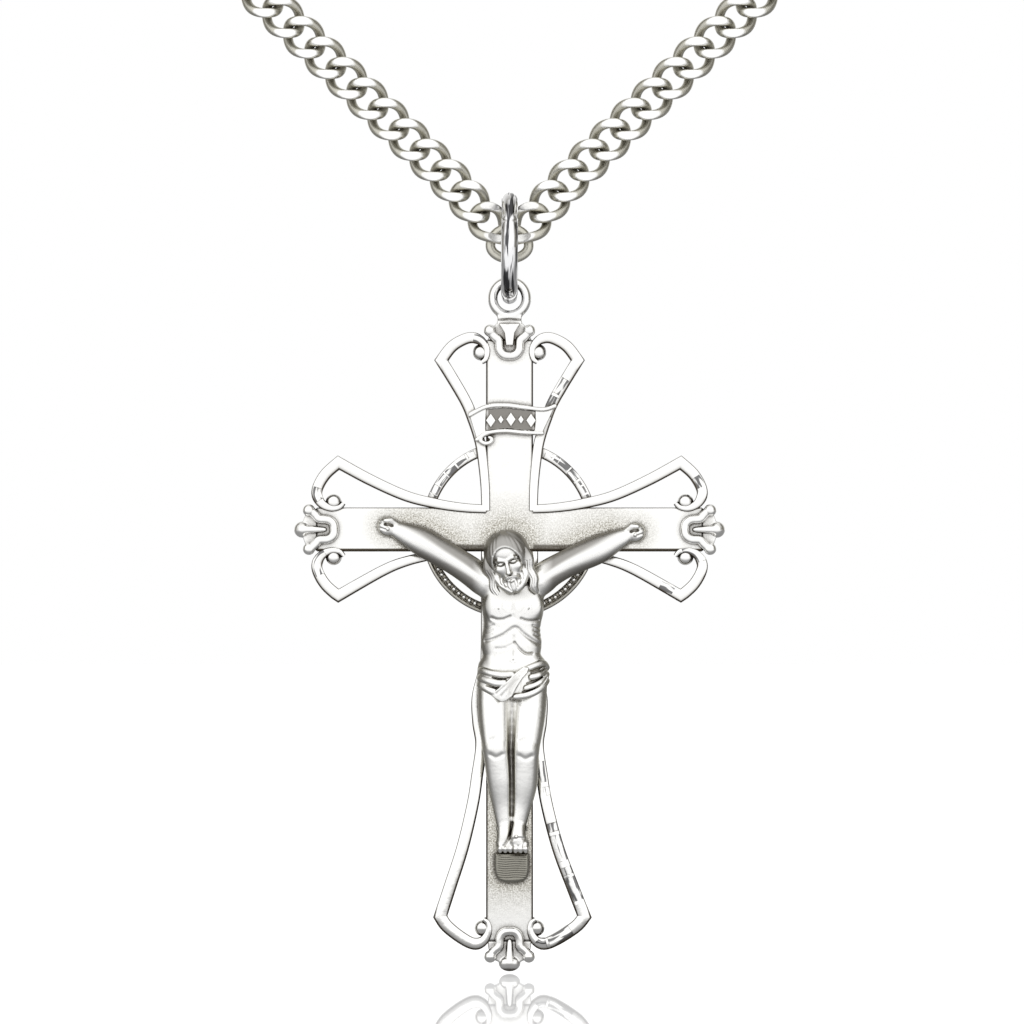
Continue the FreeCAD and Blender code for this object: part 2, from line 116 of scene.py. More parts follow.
class Clay:
    """A block of space holding signed distances in millimetres, shaped by adding and cutting forms."""

    def __init__(self, low, high, step):
        self.low, self.step = np.array(low, float), step
        self.shape = tuple(int(math.ceil((h - l) / step)) + 1 for l, h in zip(low, high))
        self.field = np.full(self.shape, 3.0, np.float32)

    def blank(self):
        """Empty clay on the same grid."""
        twin = Clay(self.low, self.low, self.step)
        twin.shape, twin.field = self.shape, np.full(self.shape, 3.0, np.float32)
        return twin

    def block(self, low, high, pad):
        """The part of the field inside a box, grown by pad, with its x, y and z places."""
        a = np.maximum(((np.array(low) - pad - self.low) / self.step).astype(int), 0)
        b = np.minimum(((np.array(high) + pad - self.low) / self.step).astype(int) + 2, self.shape)
        b = np.maximum(b, a)
        cut = tuple(slice(i, j) for i, j in zip(a, b))
        axes = [(self.low[k] + self.step * np.arange(a[k], b[k])).astype(np.float32) for k in range(3)]
        return cut, (axes[0][:, None, None], axes[1][None, :, None], axes[2][None, None, :])

    def merge(self, cut, d, k, cut_out=False):
        """Adds a form to a part of the field, or cuts it out, with a seam about k wide."""
        sign = -1 if cut_out else 1
        self.field[cut] = sign * smooth_min(sign * self.field[cut], d, k)

    def ball(self, center, radii, k=0.2, turn=None, cut_out=False):
        radii = np.array((radii,) * 3 if np.isscalar(radii) else radii, float)
        reach = radii.max()
        cut, (x, y, z) = self.block(np.array(center) - reach, np.array(center) + reach, k + 0.25)
        x, y, z = x - center[0], y - center[1], z - center[2]
        if turn is not None:
            m = Euler([math.radians(t) for t in turn]).to_matrix()
            x, y, z = [m[0][i] * x + m[1][i] * y + m[2][i] * z for i in range(3)]
        k0 = np.sqrt((x / radii[0]) ** 2 + (y / radii[1]) ** 2 + (z / radii[2]) ** 2)
        k1 = np.sqrt((x / radii[0] ** 2) ** 2 + (y / radii[1] ** 2) ** 2 + (z / radii[2] ** 2) ** 2)
        d = (k0 * (k0 - 1) / np.maximum(k1, 1e-6)).astype(np.float32)
        self.merge(cut, d, k, cut_out)

    def limb(self, points, radii, k=0.2, flat=1.0):
        """Round cones through a path, of one radius or one for every point. flat squeezes them in depth."""
        radii = [radii] * len(points) if np.isscalar(radii) else radii
        for (a, b), (ra, rb) in zip(zip(points, points[1:]), zip(radii, radii[1:])):
            a, b = np.array(a, float), np.array(b, float)
            r = max(ra, rb)
            cut, (x, y, z) = self.block(np.minimum(a, b) - r, np.maximum(a, b) + r, k + 0.2)
            ba = (b - a) * (1, 1 / flat, 1)
            px, py, pz = x - a[0], (y - a[1]) / flat, z - a[2]
            t = np.clip((px * ba[0] + py * ba[1] + pz * ba[2]) / max(ba @ ba, 1e-9), 0, 1)
            d = np.sqrt((px - t * ba[0]) ** 2 + (py - t * ba[1]) ** 2 + (pz - t * ba[2]) ** 2)
            d = ((d - (ra + (rb - ra) * t)) * min(flat, 1)).astype(np.float32)
            self.merge(cut, d, k)

    def slab(self, outline, front, back, k=0.05, soft=0.04, cut_out=False):
        """A plate with an outline in x and z, between two y planes, its edges eased by soft."""
        outline = np.array(outline, float)
        low, high = outline.min(0), outline.max(0)
        cut, (x, y, z) = self.block((low[0], front, low[1]), (high[0], back, high[1]), k + 0.2)
        sides = list(zip(outline, np.roll(outline, -1, 0)))
        near = np.minimum.reduce([squared_distance(x, z, a, b) for a, b in sides])
        inside = np.zeros(near.shape, bool)
        for a, b in sides:
            if a[1] != b[1]:
                across = (b[0] - a[0]) * (z - a[1]) / (b[1] - a[1])
                inside ^= ((z < a[1]) != (z < b[1])) & (x < a[0] + across)
        flat = np.where(inside, -1, 1) * np.sqrt(near) + soft
        depth = np.abs(y - (front + back) / 2) - (back - front) / 2 + soft
        corner = np.hypot(np.maximum(flat, 0), np.maximum(depth, 0))
        d = np.minimum(np.maximum(flat, depth), 0) + corner - soft
        self.merge(cut, d.astype(np.float32), k, cut_out)

    def bore(self, center, radius, k):
        """A round hole through the clay along y."""
        cut, (x, y, z) = self.block((center[0] - radius, self.low[1], center[1] - radius),
                                    (center[0] + radius, 9, center[1] + radius), k + 0.2)
        d = np.hypot(x - center[0], z - center[1]) - radius + 0 * y
        self.merge(cut, d.astype(np.float32), k, cut_out=True)

    def crease(self, path, depth, width, y_to=9.0):
        """A groove (or a ridge, with negative depth) drawn on all in front of y_to, along an x, z path."""
        path = np.array(path, float)
        low = (path[:, 0].min(), self.low[1], path[:, 1].min())
        high = (path[:, 0].max(), y_to, path[:, 1].max())
        cut, (x, y, z) = self.block(low, high, 2.6 * width)
        near = np.minimum.reduce([squared_distance(x, z, a, b) for a, b in zip(path, path[1:])])
        fade = np.clip((y_to - y) / 0.2, 0, 1)
        self.field[cut] += (depth * np.exp(-near / width ** 2) * fade).astype(np.float32)

    def trim_back(self, y):
        """Removes everything behind a plane."""
        axis = (self.low[1] + self.step * np.arange(self.shape[1])).astype(np.float32)
        self.field = np.maximum(self.field, (axis - y)[None, :, None])

    def mesh(self):
        for axis in range(3):
            for end in (0, -1):
                index = [slice(None)] * 3
                index[axis] = end
                self.field[tuple(index)] = np.maximum(self.field[tuple(index)], self.step)
        grid = openvdb.FloatGrid(3.0)
        grid.copyFromArray(self.field)
        points, quads = grid.convertToQuads(0.0)
        return np.asarray(points) * self.step + self.low, np.asarray(quads)[:, ::-1]


def curve(points, steps=6):
    """Catmull-Rom points through a path of any dimension."""
    pts = [np.array(p, float) for p in [points[0]] + list(points) + [points[-1]]]
    out = []
    for a, b, c, d in zip(pts, pts[1:], pts[2:], pts[3:]):
        for i in range(steps):
            t = i / steps
            out.append(0.5 * (2 * b + (c - a) * t + (2 * a - 5 * b + 4 * c - d) * t * t
                              + (3 * b - a - 3 * c + d) * t ** 3))
    return out + [pts[-1]]


def along_path(path, parts, values):
    """A value for every point of a path, from values at some parts of the way."""
    return np.interp(np.linspace(0, 1, len(path)), parts, values)


def smooth_limb(clay, points, radii, k, flat=1.0):
    """A limb of evenly changing thickness, merged into the clay in one go."""
    path = curve(points, 9)
    sizes = curve([(p, r) for p, r in zip(np.linspace(0, 1, len(radii)), radii)], 9)
    sizes = along_path(path, *np.array(sizes).T)
    fresh = clay.blank()
    fresh.limb(path, sizes, 0.08, flat)
    clay.field = smooth_min(clay.field, fresh.field, k)


def creases(clay, rows, y_to=-0.9):
    """Smooth grooves and ridges in front of y_to. A row is the depth, the width and the x, z points."""
    for depth, width, *points in rows:
        clay.crease(curve(points), depth, width, y_to)


def sided(s, *points):
    """Points of the viewer's right side, or of the left one when s is -1."""
    return [(s * x, *rest) for x, *rest in points]


# ---------------------------------------------------------------- the figure's head, in its own frame
# Millimetres. x to the viewer's right, front is -y, z up, origin between the eyes' centres.
HEAD_AT = (-0.08, -1.95, 30.36)
HEAD_SIZE = 1.19
HEAD_TURN = (14.0, -14.0, -9.0)        # bowed, leaning, turned: degrees about x, y, z


def sculpt_face(c):
    # skull, forehead, jaw and chin
    c.ball((0, 0.05, 0.45), (1.1, 1.15, 1.3), 0.2)
    c.ball((0, -0.3, -0.5), (0.86, 0.8, 1.1), 0.3)
    c.ball((0, -0.55, 0.62), (0.84, 0.55, 0.58), 0.3)
    c.ball((0, -0.86, -1.42), (0.36, 0.28, 0.28), 0.25)
    for s in (-1, 1):
        c.limb(sided(s, (0.78, 0.0, -0.5), (0.34, -0.72, -1.38)), (0.3, 0.26), 0.3)
        c.ball((s * 0.55, -0.78, -0.34), (0.3, 0.24, 0.24), 0.25)
        # eye socket, closed lid and brow
        c.ball((s * 0.4, -1.2, 0.0), (0.27, 0.24, 0.17), 0.16, cut_out=True)
        c.ball((s * 0.4, -0.86, 0.0), (0.24, 0.2, 0.165), 0.05)
        c.limb(sided(s, (0.66, -0.92, 0.2), (0.42, -1.06, 0.29), (0.17, -1.1, 0.2)), (0.07, 0.1, 0.08), 0.14)
        lid = sided(s, (0.63, -0.03), (0.52, -0.085), (0.4, -0.105), (0.28, -0.08), (0.19, -0.02))
        c.crease(lid, 0.05, 0.035, -0.6)
        c.crease(sided(s, (0.6, 0.1), (0.4, 0.15), (0.22, 0.1)), 0.03, 0.035, -0.6)
    # nose and mouth
    c.limb([(0, -1.06, 0.18), (0, -1.2, -0.15), (0, -1.36, -0.52)], (0.1, 0.1, 0.145), 0.12)
    c.ball((0, -1.38, -0.56), (0.15, 0.15, 0.12), 0.06)
    for s in (-1, 1):
        c.ball((s * 0.15, -1.22, -0.6), (0.09, 0.13, 0.09), 0.05)
        c.ball((s * 0.075, -1.33, -0.7), (0.045, 0.06, 0.05), 0.03, cut_out=True)
    c.ball((0, -0.96, -1.0), (0.42, 0.26, 0.32), 0.2)
    c.limb([(-0.22, -1.12, -1.08), (0, -1.21, -1.12), (0.22, -1.12, -1.08)], (0.05, 0.08, 0.05), 0.05)


def sculpt_beard(c):
    """Short and full on the jaw, forked at the chin, with strands and a moustache."""
    c.ball((0, -0.8, -1.42), (0.62, 0.44, 0.42), 0.15)
    for s in (-1, 1):
        jaw = sided(s, (0.98, -0.18, -0.3), (0.9, -0.42, -0.9), (0.54, -0.78, -1.42), (0.2, -0.98, -1.68))
        c.limb(curve(jaw, 4), [0.22] * 4 + [0.26] * 5 + [0.24] * 4, 0.18)
        c.ball((s * 0.16, -0.98, -1.7), (0.22, 0.24, 0.24), 0.1)
        for k in range(4):
            a, b = 0.12 + 0.2 * k, 0.07 + 0.11 * k
            strand = sided(s, (a, -1.2 + 0.14 * k), (a + 0.03, -1.45 + 0.08 * k), (b, -1.88 + 0.15 * k))
            c.crease(curve(strand, 5), 0.04, 0.045, -0.2)
        whisker = curve(sided(s, (0.05, -1.27, -0.84), (0.26, -1.22, -0.9), (0.44, -1.08, -1.08),
                              (0.52, -0.96, -1.3)), 4)
        c.limb(whisker, np.linspace(0.085, 0.05, len(whisker)), 0.04)
        c.crease(curve(sided(s, (0.08, -0.86), (0.3, -0.93), (0.47, -1.16)), 4), 0.03, 0.03, -0.6)


def sculpt_hair(hair):
    """A smooth cap, open round the face, with a wavy lock on each side."""
    hair.ball((0, 0.02, 0.42), (1.42, 1.36, 1.46), 0.2)
    hair.ball((0, -1.6, -0.58), (1.06, 1.55, 1.66), 0.12, cut_out=True)
    for s in (-1, 1):
        path = curve(sided(s, (1.12, -0.3, 0.6), (1.3, -0.42, -0.1), (1.16, -0.42, -0.8), (1.28, -0.5, -1.4),
                           (1.12, -0.55, -1.9), (1.2, -0.5, -2.3)), 5)
        hair.limb(path, along_path(path, (0, 0.25, 0.8, 1), (0.2, 0.3, 0.27, 0.14)), 0.08)
        for k in (-1, 1):
            hair.crease([(p[0] + 0.1 * k, p[2]) for p in path[6:]], 0.035, 0.035, 0.6)
        for k in range(4):
            reach = 0.34 + 0.27 * k
            sweep = sided(s, (0.1, 1.9 - 0.03 * k), (reach * 0.62, 1.83 - 0.1 * k), (reach, 1.5 - 0.2 * k),
                          (reach + 0.12, 0.9 - 0.2 * k))
            hair.crease(curve(sweep, 5), 0.018, 0.06, 1.1)


def sculpt_head(step):
    c = Clay((-1.9, -1.75, -3.1), (1.9, 1.3, 2.15), step)
    sculpt_face(c)
    sculpt_beard(c)
    hair = c.blank()
    sculpt_hair(hair)
    c.field = smooth_min(c.field, hair.field, 0.03)
    return c


# ---------------------------------------------------------------- the figure's body
ARM_PATHS = {-1: [(-1.85, -1.05, 28.75), (-3.34, -1.1, 29.8), (-5.00, -1.1, 30.8), (-6.4, -1.05, 31.6),
                  (-7.45, -1.0, 32.1), (-8.3, -0.98, 32.48)],
             1: [(2.3, -1.05, 28.85), (3.05, -1.1, 29.4), (4.5, -1.1, 30.18), (6.35, -1.05, 30.98),
                 (7.55, -1.0, 31.58), (8.45, -0.98, 32.00)]}


def sculpt_torso(c):
    c.ball((0.25, -1.1, 27.0), (2.28, 1.28, 2.9), 0.3)
    c.limb([(-1.45, -1.1, 28.55), (2.0, -1.1, 28.65)], (0.85, 0.88), 0.5)
    c.ball((0.14, -1.05, 24.2), (2.22, 1.24, 2.5), 0.6)
    c.ball((0.3, -1.05, 22.0), (2.36, 1.28, 1.9), 0.5)
    c.limb([(0.1, -1.45, 28.8), (0.0, -1.8, 29.8)], (0.62, 0.55), 0.4)
    for s, x in ((-1, -0.66), (1, 1.24)):
        c.ball((x, -1.82, 26.95), (1.1, 0.36, 1.0), 0.5, (0, s * 8, 0))
    # collar bones, lower edges of the chest, breast bone and the arch of the ribs
    creases(c, (
        (-0.05, 0.14, (-1.7, 28.55), (-0.5, 28.3), (0.05, 28.2)),
        (-0.05, 0.14, (2.3, 28.6), (1.1, 28.35), (0.45, 28.2)),
        (0.09, 0.11, (-1.3, 26.05), (-0.95, 25.93), (-0.45, 25.95), (0.05, 26.15)),
        (0.09, 0.11, (2.1, 25.9), (1.7, 25.82), (1.25, 25.84), (0.85, 25.98)),
        (0.05, 0.2, (0.28, 27.9), (0.28, 27.0), (0.28, 26.1)),
        (0.09, 0.14, (-1.75, 24.35), (-1.2, 24.48), (-0.45, 24.8), (0.4, 25.35), (1.05, 24.85),
         (1.65, 24.42), (2.15, 24.15))))
    for k in range(3):
        for s in (-1, 1):
            x, z = 0.28 + s * (1.45 + 0.06 * k), 25.5 - 0.34 * k
            creases(c, [(0.035, 0.1, (x, z), (x + s * 0.35, z - 0.16), (x + s * 0.6, z - 0.18))], -0.7)
    # the belly, with the navel and the fold above it
    creases(c, (
        (0.04, 0.12, (0.32, 24.7), (0.34, 24.2), (0.28, 23.7), (0.26, 23.3)),
        (0.1, 0.09, (0.36, 24.25), (0.75, 23.75), (1.2, 23.42), (1.65, 23.42)),
        (0.04, 0.12, (0.2, 24.1), (-0.35, 23.85), (-1.0, 23.8))))
    c.ball((0.27, -2.36, 22.92), (0.08, 0.16, 0.1), 0.1, cut_out=True)
    creases(c, [(0.04, 0.07, (0.02, 22.82), (0.15, 22.72), (0.3, 22.69), (0.45, 22.75))])
    for x in (-0.8, 1.4):
        c.ball((x, -2.36, 26.75), 0.06, 0.04)


def sculpt_arm(c, s, path, palm):
    """An arm with a half-closed hand and a nail through the palm."""
    smooth_limb(c, path, (1.12, 1.02, 0.98, 1.0, 0.78, 0.54), 0.35, 0.86)
    wrist, elbow_side, palm = np.array(path[5]), np.array(path[4]), np.array(palm)
    along = (wrist - elbow_side) / np.linalg.norm(wrist - elbow_side)
    up = np.array((-along[2], 0, along[0])) * s
    c.ball(palm, (0.74, 0.56, 0.7), 0.12, (0, -s * 30, 0))
    for k in range(3):
        line = [palm + along * u + up * (0.36 - 0.3 * k + 0.1 * (1 - k) * u) for u in (0.85, 0.5, 0.15, 0)]
        c.crease([(p[0], p[2]) for p in line], 0.07, 0.06, -1.0)
    nook = palm - along * 0.3 + up * 0.22
    nook_line = (nook, nook + along * 0.25, nook + along * 0.5 - up * 0.1)
    c.crease([(p[0], p[2]) for p in nook_line], 0.22, 0.09, -1.0)
    thumb = [palm - along * 0.55 + up * 0.42 - (0, 0.15, 0), palm - along * 0.1 + up * 0.55 - (0, 0.28, 0),
             palm + along * 0.3 + up * 0.36 - (0, 0.42, 0)]
    c.limb(thumb, (0.22, 0.2, 0.15), 0.06)
    c.ball(palm - along * 0.1 - up * 0.12 + (0, -0.54, 0), (0.13, 0.1, 0.13), 0.02)


def sculpt_leg(c, s, hip, thigh, knee, calf, shin, ankle):
    smooth_limb(c, [hip, thigh, knee], (1.34, 1.2, 1.12, 0.95), 0.15, 0.85)
    smooth_limb(c, [knee, calf, shin, ankle], (0.95, 0.93, 0.7, 0.52), 0.15, 0.9)
    c.ball(np.array(knee) + (-0.02 * s, -0.45, 0.0), (0.46, 0.3, 0.52), 0.35)
    x, z = knee[0], knee[2]
    creases(c, ((0.05, 0.16, (x - 0.42, z - 0.48), (x, z - 0.68), (x + 0.42, z - 0.48)),
                (0.04, 0.15, (x - 0.4, z + 0.62), (x - 0.1, z + 0.75))), -1.2)


def sculpt_feet(c):
    """Two feet, the right one over the left, with a nail."""
    smooth_limb(c, [(-0.4, -1.25, 10.9), (-0.38, -1.25, 10.1), (-0.42, -1.2, 9.3)],
                (0.48, 0.52, 0.54), 0.1)
    smooth_limb(c, [(0.66, -1.3, 10.9), (0.58, -1.5, 10.1), (0.68, -1.42, 9.3)], (0.5, 0.58, 0.62), 0.1)
    c.ball((0.25, -1.15, 9.45), (1.18, 0.55, 0.85), 0.2)
    for x in (-0.86, 1.18):
        c.ball((x, -1.25, 10.55), (0.14, 0.16, 0.2), 0.12)
    for k in range(6):
        x, y = -0.68 + 0.375 * k, -1.62 - 0.28 * (k > 2)
        c.limb([(x, y + 0.15, 9.45), (x, y - 0.05, 9.1), (x, y, 8.92)], (0.16, 0.18, 0.18), 0.1)
        c.crease([(x + 0.19, 9.3), (x + 0.19, 8.8)], 0.03, 0.05, -1.3)
    creases(c, [(0.12, 0.08, (0.22, 11.0), (0.08, 10.3), (-0.1, 9.8), (-0.35, 9.3))], -1.2)
    creases(c, [(0.05, 0.08, (0.15, 9.75), (0.6, 9.9), (1.0, 9.85))], -1.4)
    c.ball((0.5, -2.1, 10.0), (0.14, 0.12, 0.14), 0.02)


def sculpt_body(step):
    c = Clay((-9.95, -3.2, 8.3), (10.2, FRONT + 0.3, 33.65), step)
    sculpt_torso(c)
    sculpt_arm(c, -1, ARM_PATHS[-1], (-9.0, -0.95, 32.74))
    sculpt_arm(c, 1, ARM_PATHS[1], (9.28, -0.95, 32.3))
    sculpt_leg(c, -1, (-1.02, -1.05, 22.2), (-1.14, -1.2, 19.6), (-0.98, -1.62, 16.5), (-0.72, -1.35, 14.2),
               (-0.55, -1.25, 12.4), (-0.4, -1.25, 10.9))
    sculpt_leg(c, 1, (1.48, -1.05, 22.2), (1.5, -1.2, 19.6), (1.18, -1.66, 16.4), (1.1, -1.35, 14.0),
               (0.92, -1.28, 12.4), (0.66, -1.3, 10.9))
    # metal that joins the legs, with a groove down its front
    smooth_limb(c, [(0.22, -1.1, 21.0), (0.18, -1.25, 16.5), (0.2, -1.05, 11.5)], (0.52, 0.46, 0.36), 0.25)
    creases(c, [(0.12, 0.14, (0.18, 20.2), (0.16, 17.5), (0.12, 16.2), (0.16, 14.0), (0.16, 11.6))], -0.7)
    sculpt_feet(c)
    c.trim_back(FRONT + 0.08)
    return c


# ---------------------------------------------------------------- loincloth and foot rest
def sculpt_cloth(step):
    c = Clay((-2.45, -3.05, 19.2), (3.15, FRONT + 0.2, 23.2), step)
    middle, size = np.array((0.32, -1.0, 21.2)), np.array((2.62, 1.78, 3.6))
    c.ball(middle, size, 0.1)

    def on_cloth(points, lift=0.0):
        spots = []
        for x, z in curve(points):
            inner = 1 - ((x - middle[0]) / size[0]) ** 2 - ((z - middle[2]) / size[2]) ** 2
            spots.append((x, middle[1] - size[1] * math.sqrt(max(inner, 0)) - lift, z))
        return spots

    top = curve([(-2.6, 22.62), (-1.81, 22.29), (-1.16, 22.1), (-0.6, 22.01), (0.16, 22.06), (0.72, 22.29),
                 (1.38, 22.53), (2.13, 22.81), (2.5, 22.86), (3.2, 22.5)])
    hem = curve([(-2.6, 21.0), (-1.63, 20.56), (-0.97, 20.16), (-0.4, 20.0), (0.16, 20.15), (0.72, 20.13),
                 (2.22, 20.74), (2.9, 21.5), (3.2, 21.8)])
    c.slab([(-4, 26)] + top + [(4, 26)], -4, 2, 0.12, 0.0, cut_out=True)
    c.slab([(-4, 17)] + hem + [(4, 17)], -4, 2, 0.12, 0.0, cut_out=True)
    # broad folds over the left hip
    for points in ([(-2.1, 22.25), (-1.3, 21.98), (-0.5, 21.86), (0.2, 21.9)],
                   [(-2.2, 21.65), (-1.5, 21.42), (-0.9, 21.25), (-0.35, 21.25)],
                   [(-2.2, 21.15), (-1.6, 20.85), (-1.1, 20.6)]):
        ridge = on_cloth(points)
        c.limb(ridge, 0.2, 0.22)
    creases(c, ((0.06, 0.045, (-1.25, 21.72), (-0.7, 21.58), (-0.2, 21.62), (0.15, 21.72)),
                (0.06, 0.045, (-1.7, 21.1), (-1.2, 20.95), (-0.9, 20.92))))
    # the knot at the right hip: loops with slots between them
    for points in ([(1.38, 22.36), (2.04, 22.62), (2.5, 22.7), (2.8, 22.35)],
                   [(1.57, 21.7), (2.13, 21.84), (2.64, 22.15)],
                   [(1.19, 20.9), (1.94, 21.14), (2.5, 21.5), (2.78, 21.95)],
                   [(0.4, 20.28), (1.2, 20.38), (1.85, 20.64), (2.41, 20.98), (2.8, 21.45)]):
        loop = on_cloth(points, 0.02)
        c.limb(loop, along_path(loop, (0, 0.5, 1), (0.2, 0.24, 0.15)), 0.12)
    creases(c, ((0.09, 0.05, (1.6, 22.02), (2.13, 22.2), (2.5, 22.38)),
                (0.09, 0.05, (1.28, 21.25), (1.85, 21.44), (2.4, 21.74)),
                (0.09, 0.05, (0.95, 20.62), (1.7, 20.84), (2.41, 21.22), (2.74, 21.66))))
    # the flap that falls across the front
    sheet, stamp = c.blank(), c.blank()
    sheet.ball(middle, size + (0.1, 0.3, 0.3), 0.1)
    stamp.slab([(0.53, 22.1), (1.05, 22.46), (1.42, 22.4), (1.3, 22.05), (0.91, 21.6), (0.5, 20.95),
                (0.16, 20.3), (-0.25, 19.98), (-0.58, 19.88), (-1.02, 20.12), (-1.44, 20.46), (-0.85, 20.86),
                (-0.31, 21.3)], -4, -1.2, 0.01, 0.12)
    c.field = smooth_min(c.field, np.maximum(sheet.field, stamp.field), 0.03)
    creases(c, ((0.05, 0.12, (1.15, 22.2), (0.55, 21.65), (0.0, 21.0), (-0.55, 20.35)),
                (0.04, 0.08, (0.75, 22.1), (0.15, 21.5), (-0.45, 20.95), (-0.95, 20.5))))
    c.trim_back(FRONT + 0.06)
    return c


def sculpt_foot_block(step):
    c = Clay((-1.25, -1.95, 6.3), (1.6, FRONT + 0.2, 9.0), step)
    shield = curve([(-1.06, 8.75), (-1.08, 7.6), (-0.88, 6.9), (-0.3, 6.6), (0.64, 6.6), (1.22, 6.9),
                    (1.42, 7.6), (1.4, 8.75)], 5)
    c.slab(shield, -1.66, FRONT + 0.2, 0.1, 0.26)
    for z in 8.6 - 0.165 * np.arange(11):
        line = [(-0.85, z + 0.03), (-0.3, z - 0.03), (0.4, z + 0.02), (1.2, z - 0.02)]
        c.crease(curve(line), 0.04, 0.04, -0.9)
    c.trim_back(FRONT + 0.06)
    return c


# ---------------------------------------------------------------- wires, bars and plates of the frame
# x, z directions outward (u) and sideways (v) of every arm
ARMS = {"top": ((0, 1), (-1, 0)), "foot": ((0, -1), (-1, 0)),
        "left": ((-1, 0), (0, 1)), "right": ((1, 0), (0, 1))}


def on_arm(arm, u, v):
    (ux, uz), (vx, vz) = ARMS[arm]
    return np.array((u * ux + v * vx, CROSS_Z + u * uz + v * vz))


def frames_along(path):
    """For a 2-D path: distance so far, and the sideways direction with its mitre at every point."""
    path = np.array(path, float)
    step = np.diff(path, axis=0)
    length = np.linalg.norm(step, axis=1)
    step /= length[:, None]
    before = np.vstack([step[:1], step])
    after = np.vstack([step, step[-1:]])
    mid = before + after
    mid /= np.linalg.norm(mid, axis=1)[:, None]
    stretch = 1 / np.clip((mid * before).sum(1), 0.6, 1)
    return np.r_[0, np.cumsum(length)], np.c_[-mid[:, 1], mid[:, 0]] * stretch[:, None]


# the bars' painted shade on their walls fades out before it reaches the back
BACK_SHADE = -1.5         # the darkness at a bar's back edges: below nothing, so that the wall fades early


def sweep_bar(path, width, front, back, crown, edge, cuts=(), taper=None, groove=0.0):
    """A bar along an x, z path with a rounded front. cuts are flats ground into it: start, end, depth, tilt.

    Also gives three values for every vertex: how dark its edge is (oxide with painted shade, wider on lower
    edges), whether it is ground, and its place."""
    path = np.array(path, float)
    along, side = frames_along(path)
    stops = sorted(set(along) | {s + e for c in cuts for s in c[:2] for e in (-0.012, 0.012)})
    stops = [s for s in stops if 0 <= s <= along[-1]]
    spot = np.c_[np.interp(stops, along, path[:, 0]), np.interp(stops, along, path[:, 1])]
    side = np.c_[np.interp(stops, along, side[:, 0]), np.interp(stops, along, side[:, 1])]
    wide = np.interp(stops, along, taper) if taper is not None else np.ones(len(stops))
    a = np.array((0.5, 0.5, 0.485, 0.43, 0.38, 0.33, 0.2, 0.0))
    dome = np.array((None, edge, edge * 0.55, edge * 0.18, edge * 0.06, 0, -crown * 0.55, -crown), float)
    a, dome = np.r_[-a, a[-2::-1]], np.r_[dome, dome[-2::-1]]
    if groove:
        dome[5:10] = (groove * 0.6, groove, groove, groove, groove * 0.6)
    share = np.exp(-((np.array(stops)[:, None] - np.array(stops)[None, :]) / 0.7) ** 2)
    lean = share @ side[:, 1] / share.sum(1)          # how far the sideways direction points up, evened out
    verts, dark, ground, place = [], [], [], []
    for s, p, n, w, tip in zip(stops, spot, side, wide, lean):
        y = front + dome
        y[[0, -1]] = back
        cut = [c for c in cuts if c[0] < s < c[1]]
        for start, end, depth, tilt in cut:
            y = np.where(np.isnan(dome), back, np.maximum(y, front + depth + tilt * a * width))
        y[1:-1] = np.minimum(y[1:-1], back - 0.05)
        for ak, yk, shown in zip(a, y, ~np.isnan(dome)):
            verts.append((p[0] + n[0] * ak * width * w, yk, p[1] + n[1] * ak * width * w))
            # painted shade: lower edges, turned away from the light above, get a wider dark band, and the
            # shade on the walls fades towards the back
            begin = np.interp(tip * np.sign(ak), (-0.3, 0.3), (0.31, 0.45))
            dark.append(ease(abs(ak), begin, begin + 0.05) if shown else BACK_SHADE)
            ground.append(float(bool(cut)))
            place.append((s, ak * width * w, 0))
    n, m = len(stops), len(a)
    faces = [(i * m + k, i * m + (k + 1) % m, (i + 1) * m + (k + 1) % m, (i + 1) * m + k)
             for i in range(n - 1) for k in range(m)]
    faces += [tuple(range(m))[::-1], tuple(range((n - 1) * m, n * m))]
    verts = np.array(verts)
    return verts, outward(verts, faces), (dark, ground, place)


def store(obj, name, values):
    """Keeps one number, or one triple, for every vertex, for the materials to read."""
    values = np.asarray(values, np.float32)
    kind, field = ("FLOAT_VECTOR", "vector") if values.ndim == 2 else ("FLOAT", "value")
    layer = obj.data.attributes.get(name) or obj.data.attributes.new(name, kind, "POINT")
    layer.data.foreach_set(field, values.ravel())


def store_bar(obj, marks):
    for name, values in zip(("patina_and_shade", "ground", "lane"), marks):
        store(obj, name, values)


def outward(verts, faces):
    """Turns the faces round when they look inward."""
    total = 0.0
    for f in faces:
        for i in range(1, len(f) - 1):
            total += np.dot(verts[f[0]], np.cross(verts[f[i]], verts[f[i + 1]]))
    return faces if total > 0 else [tuple(f)[::-1] for f in faces]


def sharpen(obj, degrees):
    obj.data.set_sharp_from_angle(angle=math.radians(degrees))


